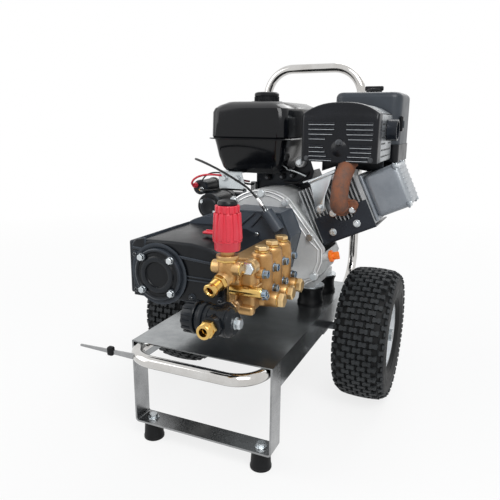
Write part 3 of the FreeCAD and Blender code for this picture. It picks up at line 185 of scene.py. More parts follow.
class Stuff:
    """The finishes of this machine, each named for the real material."""

    # Stoved gloss enamel on pressed steel: near-black with a wet highlight and a trace of orange peel.
    tank_enamel = Finish("gloss_black_stoved_enamel", "#07080B", "#0A0C10", 0.13, coat=0.1, size=6.0, tooth=0.02, sway=0.03, spec=0.22)
    # Satin paint on thin pressed sheet: blue-black, soft highlights that roll over the folds; its sharp edges carry a
    # painted highlight in a lighter blue-grey.
    sheet_paint = Finish("satin_black_painted_sheet", "#090B10", "#0D1016", 0.27, size=3.0, tooth=0.02, edge_highlight="#262B33", spec=0.24)
    # Textured paint over cast iron and alloy: grainy, faintly dusty charcoal; its sharp edges and ribs carry a painted
    # highlight in a lighter grey.
    cast_paint = Finish("textured_black_painted_casting", "#0B0D10", "#121519", 0.31, grain=Grain.SAND, size=1.6,
                        tooth=0.1, edge_highlight="#4A515A", spec=0.22)
    # Hot-forged brass as tumbled: sandy golden brown with darker mottles; its sharp edges carry a painted highlight in
    # pale gold.
    forged_brass = Finish("tumbled_forged_brass", "#C49A64", "#8C6538", 0.38, metal=0.8, grain=Grain.SAND, size=1.2,
                          tooth=0.12, edge_highlight="#E8CB96")
    # Turned brass: brighter, yellower and smoother than the forging.
    turned_brass = Finish("turned_bright_brass", "#DDBB76", "#C29A52", 0.24, metal=1.0, grain=Grain.TURNED, size=0.8, tooth=0.02)
    # Zinc plate with a blue passivation on socket screws.
    blue_zinc = Finish("blue_passivated_zinc_screw", "#A4B6C6", "#8596A6", 0.28, metal=0.95, size=2.0, tooth=0.004)
    # Old brass pipe with dried water marks in its thread: brown-grey.
    pipe_brass = Finish("water_stained_brass_pipe", "#A0845F", "#6F5A45", 0.4, metal=0.8, grain=Grain.STAINED, size=1.5, tooth=0.05)
    # Bright zinc plate on washers, nuts, plates and the stay.
    zinc = Finish("bright_zinc_plated_steel", "#D2D6D8", "#BAC1C5", 0.28, metal=0.95, size=3.0, tooth=0.004)
    # Mirror-polished stainless tube.
    tube = Finish("mirror_polished_stainless_tube", "#D2D1CF", "#BDBAB6", 0.1, metal=1.0, size=1.0, tooth=0.005, sway=0.03)
    # Brushed stainless sheet: long fine lines across the deck that smear its reflections.
    sheet_steel = Finish("brushed_stainless_sheet", "#A5A8A9", "#8F9294", 0.2, metal=0.95, grain=Grain.BRUSHED, size=0.7,
                         tooth=0.006, sway=0.04)
    # Stainless flat bar of the foot bracket, duller and warmer than the deck.
    bar_steel = Finish("mill_finish_stainless_bar", "#A5A6A7", "#8B8C8D", 0.26, metal=1.0, size=3.0, tooth=0.005)
    # Pressure-cast alloy of the crankcase and fins: pale, dry grey.
    cast_alloy = Finish("die_cast_aluminium", "#D0D1D0", "#BABCBD", 0.42, metal=0.3, grain=Grain.SAND, size=1.2, tooth=0.03)
    fin_alloy = Finish("die_cast_cooling_fins", "#B4B6B7", "#909496", 0.44, metal=0.5, grain=Grain.SAND, size=1.2, tooth=0.06)
    # Satin grey paint of the rocker cover.
    grey_paint = Finish("satin_grey_painted_cover", "#858A90", "#72787F", 0.33, metal=0.3, size=2.0, tooth=0.04)
    # Bare ribbed end of the rocker cover, paler than its painted sides.
    cover_end = Finish("satin_alloy_cover_end", "#A3A8AC", "#8F9499", 0.34, metal=0.5, size=2.0, tooth=0.02)
    # Mild steel pipe that heat has rusted in patches.
    rust = Finish("heat_rusted_steel_pipe", "#8A4F2E", "#4E423C", 0.68, metal=0.1, grain=Grain.STAINED, size=3.0, tooth=0.12)
    hot_steel = Finish("heat_stained_silencer_steel", "#4E4A47", "#343130", 0.5, metal=0.6, grain=Grain.STAINED, size=3.0, tooth=0.1)
    # Perforated aluminised sheet at the silencer's side.
    side_sheet = Finish("aluminised_silencer_sheet", "#B4B8BA", "#999EA2", 0.3, metal=0.8, size=3.0, tooth=0.005)
    # Carbon-black tyre rubber, dry and slightly dusty in the grooves.
    tyre = Finish("vulcanised_tyre_rubber", "#0A0B0C", "#121314", 0.6, size=1.5, tooth=0.1, sway=0.08, spec=0.2)
    # Tread blocks, a lighter grey than the carcass.
    tread = Finish("light_grey_tread_rubber", "#303335", "#1F2123", 0.66, size=1.5, tooth=0.1, sway=0.08, spec=0.3)
    # Moulded rubber of feet and mounts, a little shinier.
    rubber = Finish("moulded_black_rubber", "#0A0B0C", "#111214", 0.45, size=1.2, tooth=0.04, spec=0.2)
    # White gloss paint of the pressed wheel.
    rim_paint = Finish("white_painted_wheel", "#DFE2E4", "#D2D5D8", 0.22, coat=0.3, size=5.0, tooth=0.02, sway=0.03)
    # Red moulded nylon knob with a soft satin skin.
    red_plastic = Finish("red_moulded_nylon", "#D63545", "#C62C3B", 0.36, size=1.0, tooth=0.02)
    # Black glass-filled nylon of the filter, cool and slightly glossy.
    filter_plastic = Finish("black_glass_filled_nylon", "#0A0E13", "#10161C", 0.28, size=0.9, tooth=0.03, spec=0.26)
    black_plastic = Finish("black_moulded_plastic", "#0A0C0F", "#101216", 0.34, size=1.0, tooth=0.03, spec=0.22)
    # Grey-black polypropylene of the air cleaner's lid.
    lid_plastic = Finish("charcoal_moulded_polypropylene", "#2C3137", "#343A41", 0.4, size=1.0, tooth=0.05, spec=0.35)
    orange = Finish("orange_moulded_plastic", "#F07C1E", "#E26B12", 0.38, size=1.0, tooth=0.02)
    machined = Finish("machined_alloy", "#B9BCBE", "#A2A6A8", 0.3, metal=0.9, size=0.8, tooth=0.02)
    dark_steel = Finish("oiled_dark_steel", "#55575A", "#414346", 0.34, metal=0.9, size=1.0, tooth=0.02)
    cable = Finish("extruded_cable_jacket", "#0C0D0F", "#141517", 0.42, size=1.0, tooth=0.02, spec=0.25)
    ceramic = Finish("ground_ceramic", "#E4DFD3", "#D8D2C4", 0.2, size=1.0, tooth=0.01)
    dark_hole = Finish("unlit_inside_of_casing", "#050506", "#08090A", 0.8, size=2.0, tooth=0.02)
    # Thin light line along each louvre's lower lip: a painted highlight, not a real cut edge of the sheet.
    louvre_highlight_line = Finish("painted_louvre_highlight_line", "#C4C9CE", "#AEB4BA", 0.4, metal=0.3, size=2.0, tooth=0.01)
    foam = Finish("reticulated_filter_foam", "#26282B", "#151618", 0.9, size=1.5, tooth=0.4)


# ---------------------------------------------------------------- mesh workbench
def frame_along(at: Point, axis: Vector, roll: float = 0.0) -> Matrix:
    """A matrix whose Z runs along axis from at; both are in cart millimetres."""
    turn = Vector(axis).normalized().to_track_quat("Z", "Y").to_matrix().to_4x4()
    return Matrix.Translation(Vector(at)) @ turn @ Matrix.Rotation(roll, 4, "Z")


def flat_xz(y: float) -> Matrix:
    """Local X, Y to the cart's X, Z at a given y; local Z then points to -Y."""
    return Matrix(((1, 0, 0, 0), (0, 0, -1, y), (0, 1, 0, 0), (0, 0, 0, 1)))


CYLINDER_TILT = math.radians(25.0)
CRANK = (12.0, 416.0)
CYLINDER_Y = 380.0


def cylinder_frame() -> Matrix:
    """The engine cylinder's frame: X along the bore from the crank axis, Z square to it."""
    return Matrix.Translation((CRANK[0], 0, CRANK[1])) @ Matrix.Rotation(-CYLINDER_TILT, 4, "Y")


class Maker:
    """Collects shapes, each made by bmesh operators, into one named piece."""

    def __init__(self, name: str) -> None:
        """Start an empty piece."""
        self.name = name
        self.whole = bmesh.new()
        self.finishes: list[Finish] = []

    def index(self, finish: Finish) -> int:
        """The material index of a finish on this piece."""
        if finish not in self.finishes:
            self.finishes.append(finish)
        return self.finishes.index(finish)

    def put(self, part: bmesh.types.BMesh, finish: Finish, matrix: Matrix | None = None) -> None:
        """Close, orient and add one shape.

        Args:
            part: The shape, in local millimetres. It is freed.
            finish: Its finish.
            matrix: Where it goes in the cart's frame.
        """
        bmesh.ops.remove_doubles(part, verts=part.verts, dist=0.001)
        if matrix is not None:
            bmesh.ops.transform(part, matrix=matrix, verts=part.verts)
        bmesh.ops.recalc_face_normals(part, faces=part.faces)
        number = self.index(finish)
        for face in part.faces:
            face.material_index = number
        mesh = bpy.data.meshes.new("shape")
        part.to_mesh(mesh)
        part.free()
        self.whole.from_mesh(mesh)
        bpy.data.meshes.remove(mesh)

    def lathe(self, profile: Sequence[tuple[float, float]], finish: Finish, at: Point, axis: Vector = Z,
              steps: int = 40, closed: bool = False) -> None:
        """Spin a profile of (radius, run) points about axis.

        Args:
            profile: Radius and distance along the axis, in millimetres.
            finish: The finish.
            at: Where run 0 lies.
            axis: The direction of the run.
            steps: Facets round the axis.
            closed: True where the profile is a loop, as on a ring.
        """
        part = bmesh.new()
        verts = [part.verts.new((radius, 0, run)) for radius, run in profile]
        pairs = list(zip(verts, verts[1:]))
        if closed:
            pairs.append((verts[-1], verts[0]))
        edges = [part.edges.new(pair) for pair in pairs]
        bmesh.ops.spin(part, geom=verts + edges, cent=(0, 0, 0), axis=(0, 0, 1), dvec=(0, 0, 0), angle=TURN,
                       steps=steps, use_merge=True, use_normal_flip=False, use_duplicate=False)
        self.put(part, finish, frame_along(at, axis))

    def rod(self, at: Point, axis: Vector, radius: float, length: float, finish: Finish, steps: int = 32,
            edge: float = 0.8, hole: float = 0.0) -> None:
        """A round bar with broken edges, bored through where hole is a radius."""
        edge = min(edge, radius * 0.4, length * 0.4)
        if hole:
            profile = [(hole, 0), (radius - edge, 0), (radius, edge), (radius, length - edge), (radius - edge, length),
                       (hole, length)]
            self.lathe(profile, finish, at, axis, steps, closed=True)
            return
        self.lathe([(0, 0), (radius - edge, 0), (radius, edge), (radius, length - edge), (radius - edge, length),
                    (0, length)], finish, at, axis, steps)

    def slab(self, outline: Sequence[tuple[float, float]], depth: float, finish: Finish, matrix: Matrix,
             edge: float = 0.0, segments: int = 2, corner: float = 0.0) -> None:
        """A plate: an outline in local X, Y pushed out along local Z.

        Args:
            outline: Corner points in millimetres.
            depth: Thickness along local Z.
            finish: The finish.
            matrix: Local to cart.
            edge: Width of the bevel round the front and back edges.
            segments: Steps of that bevel.
            corner: Radius that rounds the outline's own corners first.
        """
        part = bmesh.new()
        face = part.faces.new([part.verts.new((x, y, 0)) for x, y in outline])
        if corner:
            bmesh.ops.bevel(part, geom=list(part.verts), offset=corner, segments=5, profile=0.5, affect="VERTICES",
                            material=-1)
            face = part.faces[0] if len(part.faces) == 1 else max(part.faces, key=lambda f: f.calc_area())
        grown = bmesh.ops.extrude_face_region(part, geom=[face])
        moved = [item for item in grown["geom"] if isinstance(item, bmesh.types.BMVert)]
        bmesh.ops.translate(part, vec=(0, 0, depth), verts=moved)
        self.close_back(part)
        if edge:
            rims = [e for e in part.edges if abs(e.verts[0].co.z - e.verts[1].co.z) < 1e-5]
            bmesh.ops.bevel(part, geom=rims, offset=edge, segments=segments, profile=0.5, affect="EDGES", material=-1)
        self.put(part, finish, matrix)

    @staticmethod
    def close_back(part: bmesh.types.BMesh) -> None:
        """Fill any open loop of a shape."""
        open_edges = [e for e in part.edges if e.is_boundary]
        if open_edges:
            bmesh.ops.holes_fill(part, edges=open_edges, sides=0)

    def block(self, low: Point, high: Point, finish: Finish, edge: float = 1.5, segments: int = 3,
              matrix: Matrix | None = None, taper: Callable[[Vector], None] | None = None) -> None:
        """A rounded block between two corners.

        Args:
            low: Lowest corner.
            high: Highest corner.
            finish: The finish.
            edge: Radius of all its edges.
            segments: Steps of that radius.
            matrix: Local to cart, where the block is made in another frame.
            taper: Changes each corner's place before the edges are rounded.
        """
        part = bmesh.new()
        bmesh.ops.create_cube(part, size=1.0)
        size = [b - a for a, b in zip(low, high)]
        bmesh.ops.scale(part, vec=size, verts=part.verts)
        bmesh.ops.translate(part, vec=[(a + b) / 2 for a, b in zip(low, high)], verts=part.verts)
        if taper:
            for vert in part.verts:
                taper(vert.co)
        if edge:
            bmesh.ops.bevel(part, geom=list(part.edges), offset=edge, segments=segments, profile=0.5, affect="EDGES",
                            material=-1)
        self.put(part, finish, matrix)

    def hexagon(self, at: Point, axis: Vector, flats: float, length: float, finish: Finish, roll: float = 0.0,
                edge: float = 1.0) -> None:
        """A hexagonal bar with its corners turned off at both ends."""
        part = bmesh.new()
        bmesh.ops.create_cone(part, cap_ends=True, cap_tris=False, segments=6, radius1=flats / math.sqrt(3),
                              radius2=flats / math.sqrt(3), depth=length)
        bmesh.ops.translate(part, vec=(0, 0, length / 2), verts=part.verts)
        rims = [e for e in part.edges if abs(e.verts[0].co.z - e.verts[1].co.z) < 1e-5]
        bmesh.ops.bevel(part, geom=rims, offset=min(edge, length * 0.3), segments=1, profile=0.5, affect="EDGES",
                        material=-1)
        self.put(part, finish, frame_along(at, axis, roll))

    def hex_bolt(self, at: Point, axis: Vector, flats: float, finish: Finish, washer: float = 0.0,
                 roll: float = 0.0) -> None:
        """A hexagon-head bolt seated at a point, on a washer where one is asked for."""
        base = Vector(at)
        unit = Vector(axis).normalized()
        if washer:
            self.rod(base, unit, washer, 1.8, finish, 28, 0.4)
            base = base + unit * 1.8
        self.rod(base, unit, flats * 0.6, 1.0, finish, 24, 0.3)
        self.hexagon(base + unit, unit, flats, flats * 0.5, finish, roll, 0.8)

    def cap_screw(self, at: Point, axis: Vector, radius: float, height: float, finish: Finish) -> None:
        """A socket-head screw with its hexagonal socket."""
        socket = radius * 0.55
        self.lathe([(0, height * 0.45), (socket * 0.9, height * 0.45), (socket, height - 0.4), (socket + 0.5, height),
                    (radius - 0.9, height), (radius, height - 0.9), (radius, 0), (0, 0)], finish, at, axis, 24)

    def pipe(self, points: Sequence[Point], radius: float, finish: Finish, smooth: bool = True,
             sides: int = 8) -> None:
        """A round line through or near points.

        Args:
            points: The route, in cart millimetres.
            radius: The line's radius.
            finish: The finish.
            smooth: True for a NURBS line, False for straight runs.
            sides: Facets per quarter turn round the line, over four.
        """
        curve = bpy.data.curves.new("route", "CURVE")
        curve.dimensions = "3D"
        curve.bevel_depth = radius
        curve.bevel_resolution = sides
        curve.use_fill_caps = True
        curve.resolution_u = 8
        spline = curve.splines.new("NURBS" if smooth else "POLY")
        spline.points.add(len(points) - 1)
        for point, target in zip(spline.points, points):
            point.co = (*target, 1)
        if smooth:
            spline.order_u = 3
            spline.use_endpoint_u = True
        holder = bpy.data.objects.new("route", curve)
        bpy.context.scene.collection.objects.link(holder)
        bpy.context.view_layer.update()
        mesh = bpy.data.meshes.new_from_object(holder.evaluated_get(bpy.context.evaluated_depsgraph_get()))
        part = bmesh.new()
        part.from_mesh(mesh)
        bpy.data.objects.remove(holder)
        bpy.data.curves.remove(curve)
        bpy.data.meshes.remove(mesh)
        self.put(part, finish)

    def finish_piece(self, body: str, stands_for: Iterable[str] = (), crease: float = 32.0) -> bpy.types.Object:
        """Turn the collected shapes into one piece that rides on a body.

        Args:
            body: The CAD body that it moves with.
            stands_for: CAD nodes that it replaces.
            crease: Edges sharper than this many degrees stay sharp.

        Returns:
            The piece.
        """
        for vert in self.whole.verts:
            vert.co = place(vert.co)
        mesh = bpy.data.meshes.new(self.name)
        self.whole.to_mesh(mesh)
        self.whole.free()
        for finish in self.finishes:
            mesh.materials.append(finish.make())
        mesh.shade_smooth()
        mesh.set_sharp_from_angle(angle=math.radians(crease))
        piece = bpy.data.objects.new(self.name, mesh)
        bpy.context.scene.collection.objects.link(piece)
        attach(piece, body)
        nodes = list(stands_for)
        if nodes:
            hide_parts(*nodes)
        log.info("%s: %d faces on %s", self.name, len(mesh.polygons), body)
        return piece


# ---------------------------------------------------------------- cart
WHEEL_AXIS_Y = 430.0
WHEEL_AXIS_Z = 165.0


@dataclass
class Wheel:
    """One pneumatic turf tyre on its pressed white rim."""

    side: int
    tread_r: float = 164.6
    carcass_r: float = 158.0
    half_width: float = 61.5
    centre_x: float = 259.0
    rows_round: int = 68

    @property
    def body(self) -> str:
        """The CAD body that carries this wheel."""
        return "right_wheel" if self.side > 0 else "left_wheel"

    def hub(self) -> Vector:
        """The wheel's centre in cart millimetres."""
        return Vector((self.side * self.centre_x, WHEEL_AXIS_Y, WHEEL_AXIS_Z))

    def tyre(self) -> None:
        """Carcass with ribbed walls, and rows of offset turf blocks over the crown."""
        make = Maker(f"{self.body}_tyre")
        half = self.half_width
        r = self.carcass_r
        wall = [(76.3, -44), (84, -46), (88, -51), (91, -54), (94, -54.4), (95, -56), (108, -60.5), (110, -60), (112, -61),
                (126, -61.4), (128, -60.6), (130, -61), (141, -59.4), (148, -56.5), (r - 5, -50), (r - 1.6, -36), (r, -18), (r, 0)]
        profile = wall + [(radius, -run) for radius, run in reversed(wall[:-1])]
        profile += [(84.5, 40), (100, 46), (120, 48), (136, 46), (142, 30), (142, -30), (136, -46), (120, -48), (100, -46),
                    (84.5, -40)]
        make.lathe(profile, Stuff.tyre, self.hub(), X, 72, closed=True)
        for step in range(self.rows_round):
            turn = TURN * step / self.rows_round
            for across in ((-36.0, -12.0, 12.0, 36.0) if step % 2 else (-24.0, 0.0, 24.0)):
                drop = 4.4 * (abs(across) / 50) ** 2.2
                self.lug(make, across, turn, 22.0, 13.4, drop, tilt=across * 0.16)
            for edge in (-1, 1):
                self.lug(make, edge * (51.0 if step % 2 == 0 else 54.2), turn, 17.0 if step % 2 == 0 else 9.0, 12.4,
                         8.2 if step % 2 == 0 else 12.5, tilt=edge * 36.0)
        make.finish_piece(self.body, [f"{'right' if self.side > 0 else 'left'}_tyre"], crease=38)

    def lug(self, make: Maker, across: float, turn: float, wide: float, long: float, drop: float,
            tilt: float = 0.0) -> None:
        """One tread block with waisted flanks, standing on the carcass."""
        block = bmesh.new()
        bmesh.ops.create_grid(block, x_segments=4, y_segments=2, size=0.5)
        bmesh.ops.scale(block, vec=(wide, long, 1), verts=block.verts)
        for vert in block.verts:
            if abs(vert.co.x) < wide * 0.1:
                vert.co.y *= 0.62
            if abs(vert.co.x) > wide * 0.45 and abs(vert.co.y) > 1:
                vert.co.x *= 0.84
        top = bmesh.ops.extrude_face_region(block, geom=list(block.faces))
        raised = [item for item in top["geom"] if isinstance(item, bmesh.types.BMVert)]
        bmesh.ops.translate(block, vec=(0, 0, 8), verts=raised)
        bmesh.ops.scale(block, vec=(0.86, 0.88, 1), verts=raised)
        place_lug = (Matrix.Translation(self.hub()) @ Matrix.Rotation(turn, 4, "X")
                     @ Matrix.Translation((across, 0, self.tread_r - 8 - drop))
                     @ Matrix.Rotation(math.radians(tilt), 4, "Y"))
        make.put(block, Stuff.tread, place_lug)

    def rim(self) -> None:
        """Pressed half-rims with rolled lips, a stepped disc, a ring of bolts and a valve stem."""
        make = Maker(f"{self.body}_rim")
        lip = [(73.2, -48), (82.5, -48), (84, -47), (83.6, -45.4), (78, -45), (76, -43), (75.6, -14), (70, -6), (70, 6), (75.6, 14),
               (76, 43), (78, 45), (83.6, 45.4), (84, 47), (82.5, 48), (73.2, 48), (72.6, 16), (66, 4.2), (58, 3.4), (50, 9), (40, 9),
               (33, 5), (27, 4), (26, 40), (21.1, 40), (21.1, -40), (26, -40), (27, -4), (33, -5), (40, -9), (50, -9), (58, -3.4),
               (66, -4.2), (72.6, -16)]
        make.lathe(lip, Stuff.rim_paint, self.hub(), X, 72, closed=True)
        for face in (-1, 1):
            for step in range(5):
                turn = TURN * step / 5
                at = self.hub() + Vector((face * 8.6, 45 * math.cos(turn), 45 * math.sin(turn)))
                make.hex_bolt(at, X * face, 11, Stuff.zinc, 8.5)
        stem = self.hub() + Vector((-self.side * 18, 0, 64))
        make.rod(stem, Vector((-self.side, 0, -0.22)), 5.2, 16, Stuff.rubber, 20, 1.5)
        make.rod(stem + Vector((-self.side * 15, 0, -3.3)), Vector((-self.side, 0, -0.22)), 3.8, 11, Stuff.black_plastic, 18, 1.2)
        make.finish_piece(self.body, [f"{'right' if self.side > 0 else 'left'}_rim"])

    def build(self) -> None:
        """Make the tyre and the rim."""
        self.tyre()
        self.rim()


@dataclass
class Cart:
    """What stands under the engine: feet, mounts, tube joints and the front strip's collar."""

    foot_x: float = 129.0
    foot_y: float = 23.5
    mount_x: tuple[float, float] = (-86.0, 109.0)
    mount_y: tuple[float, float] = (390.0, 503.0)

    def feet(self) -> None:
        """Tapered rubber feet with a lip at the ground and a step at the bracket."""
        make = Maker("tapered_feet")
        for side in (-1, 1):
            make.lathe([(0, 0), (20.5, 0), (22.3, 1.4), (22.4, 6), (21.2, 8), (19.6, 36), (19.2, 38), (18.6, 42.9), (5.2, 42.9),
                        (5.2, 14), (0, 14)], Stuff.rubber, (side * self.foot_x, self.foot_y, 0), Z, 44)
        make.finish_piece("frame", ["rubber_feet"])

    def foot_bolts(self) -> None:
        """Washer and hexagon-head bolt on the bracket's floor above each foot."""
        make = Maker("foot_bolt_heads")
        for side in (-1, 1):
            make.rod((side * self.foot_x, self.foot_y, 47.2), Z, 12.6, 1.6, Stuff.zinc, 32, 0.4)
        make.finish_piece("frame")

    def mounts(self) -> None:
        """Waisted rubber blocks between bright plates, with the stud's nuts above."""
        make = Maker("engine_rubber_mounts")
        for x in self.mount_x:
            for y in self.mount_y:
                make.lathe([(5.3, 234.1), (32.4, 234.1), (33.3, 236), (33.3, 240), (30.6, 245), (29.4, 257), (30.6, 270),
                            (33.3, 275), (33.3, 279), (32.4, 280.9), (5.3, 280.9)], Stuff.rubber, (x, y, 0), Z, 44, closed=True)
        make.finish_piece("frame", ["engine_mounts"])

    def tube_details(self) -> None:
        """Weld beads where the tubes meet, grip sleeve seams and the strip's rubber collar."""
        make = Maker("weld_beads")
        for side in (-1, 1):
            make.lathe([(12.72, -3), (13.3, -1.6), (13.5, 0), (13.3, 1.6), (12.72, 3)], Stuff.sheet_steel,
                       (side * 143, 330, 218.6), Y, 32)
            for step in range(5):
                make.rod((side * 143, 30 + step * 135, 230.4), Z, 4.5, 0.9, Stuff.sheet_steel, 16, 0.3)
        make.finish_piece("frame")
        collar = Maker("strip_rubber_collar")
        collar.block((-190, -47.5, 212.6), (-176, -35.5, 231.6), Stuff.rubber, 3.4, 3)
        collar.finish_piece("frame")

    def build(self) -> None:
        """Make all pieces of the cart."""
        self.feet()
        self.foot_bolts()
        self.mounts()
        self.tube_details()


# ---------------------------------------------------------------- pump
COLUMNS = (69.0, 122.5, 176.0)
HEAD_BOLT_YS = (42.25, 95.75, 149.25, 202.75)
PUMP_AXIS_X = CRANK[0] - math.sqrt(110.0 ** 2 - 31.0 ** 2)
PUMP_AXIS_Z = 385.0


@dataclass
class PumpHead:
    """Forged brass head: block, three round-fronted columns, caps and socket screws."""

    x0: float = 54.0
    x1: float = 128.0
    y0: float = 20.0
    y1: float = 215.0
    z0: float = 325.0
    z1: float = 440.0
    column_r: float = 22.0
    lower_z: float = 347.0

    def forging(self) -> None:
        """The brass body with its columns, screw bosses, side barrels and flash line."""
        make = Maker("forged_brass_head")
        make.block((self.x0, self.y0, self.z0 + 6), (self.x1 - 18, self.y1, self.z1 - 12), Stuff.forged_brass, 7, 4)
        make.block((self.x0 + 1, self.y0 + 12, self.z1 - 22), (self.x1 - 24, self.y1 - 10, self.z1 - 7), Stuff.forged_brass, 4, 3)
        for y in COLUMNS:
            make.lathe([(0, self.z0 + 9), (13, self.z0 + 9), (19, self.z0 + 12), (22, self.z0 + 20), (22, self.z1 - 20),
                        (20.5, self.z1 - 12), (20.5, self.z1 - 5), (18.6, self.z1 - 1.5), (16.5, self.z1), (0, self.z1)],
                       Stuff.forged_brass, (self.x1 - 22, y, 0), Z, 48)
            make.lathe([(0, 0), (17.5, 0), (17.5, 40), (16.8, 56), (15.5, 62), (15.5, 74), (14.3, 76), (0, 76)],
                       Stuff.forged_brass, (self.x0 + 12, y, self.lower_z), X, 44)
        for y in HEAD_BOLT_YS:
            for z in (361.0, 404.0):
                y_in = min(max(y, self.y0 + 11), self.y1 - 11)
                make.lathe([(0, 0), (11.5, 0), (10.6, 40), (10.2, 62), (9.2, 67.4), (0, 67.4)], Stuff.forged_brass,
                           (self.x0, y_in, z), X, 32)
            make.block((self.x0 + 6, y - 4.5, 352), (self.x1 - 15, y + 4.5, 412), Stuff.forged_brass, 3.6, 3)
        make.block((self.x0 + 4, self.y0 + 3, 380), (self.x1 - 12, self.y1 - 3, 385), Stuff.forged_brass, 1.8, 2)
        make.block((self.x0 - 2, self.y0 + 2, self.z0 + 12), (self.x0 + 8, self.y1 - 2, self.z1 - 18), Stuff.forged_brass, 2, 2)
        make.finish_piece("frame", ["pump_head"], crease=40)

    def caps(self) -> None:
        """Hexagonal valve caps on the columns and at the lower front."""
        make = Maker("brass_valve_caps")
        for index, y in enumerate(COLUMNS):
            make.rod((self.x1 - 22, y, self.z1 + 0.1), Z, 15, 3, Stuff.turned_brass, 36, 0.8)
            make.hexagon((self.x1 - 22, y, self.z1 + 3), Z, 24, 9, Stuff.forged_brass, 0.3 * index, 1.6)
            make.rod((self.x1 - 22, y, self.z1 + 10.8), Z, 9.6, 1.0, Stuff.turned_brass, 32, 0.3)
            make.rod((self.x1 + 14.1, y, self.lower_z), X, 14.4, 2.4, Stuff.turned_brass, 36, 0.7)
            make.hexagon((self.x1 + 16, y, self.lower_z), X, 26, 12, Stuff.forged_brass, 0.2 + 0.4 * index, 2.2)
            make.lathe([(0, 11.2), (8.6, 11.2), (9.2, 12), (9.2, 9), (0, 9)], Stuff.turned_brass,
                       (self.x1 + 16, y, self.lower_z), X, 32)
        make.finish_piece("frame", ["valve_caps"])

    def screws(self) -> None:
        """Eight socket screws in the head and four bright zinc hexagon-head bolts in the bearing cover."""
        make = Maker("blue_zinc_socket_screws")
        for y in HEAD_BOLT_YS:
            for z in (361.0, 404.0):
                make.rod((self.x1 - 6, y, z), X, 9.6, 1.4, Stuff.blue_zinc, 28, 0.4)
                make.cap_screw((self.x1 - 5, y, z), X, 8, 9, Stuff.blue_zinc)
        for sx in (-1, 1):
            for sz in (-1, 1):
                make.hex_bolt((PUMP_AXIS_X + 34 * sx, 0.4, PUMP_AXIS_Z + 34 * sz), -Y, 12, Stuff.zinc, 0)
        make.finish_piece("frame", ["head_bolts"])

    def lower_cylinder(self) -> None:
        """Horizontal brass manifold at the head's front foot, closed by a bright bolt."""
        make = Maker("brass_lower_manifold")
        make.lathe([(0, 0), (9.5, 0), (10.8, 1.5), (10.8, 64), (9.8, 66), (0, 66)], Stuff.turned_brass, (64, 17, 374), X, 36)
        make.cap_screw((130, 17, 374), X, 8, 9, Stuff.blue_zinc)
        make.lathe([(0, 0), (13.5, 0), (14.4, 1.4), (14.4, 19), (0, 19)], Stuff.forged_brass, (108, 2, 424), Y, 36)
        make.hexagon((108, -6, 424), Y, 22, 8.4, Stuff.zinc, 0.5, 1.6)
        make.lathe([(0, 0), (9, 0), (10, 1.5), (10, 26), (9, 28), (0, 28)], Stuff.forged_brass, (58, 17, 392), X, 32)
        make.block((60, 12, 326), (112, 30, 344), Stuff.forged_brass, 5, 3)
        make.block((72, 12, 344), (78, 22, 388), Stuff.forged_brass, 2.2, 3)
        make.finish_piece("frame")

    def build(self) -> None:
        """Make all pieces of the head."""
        self.forging()
        self.caps()
        self.screws()
        self.lower_cylinder()


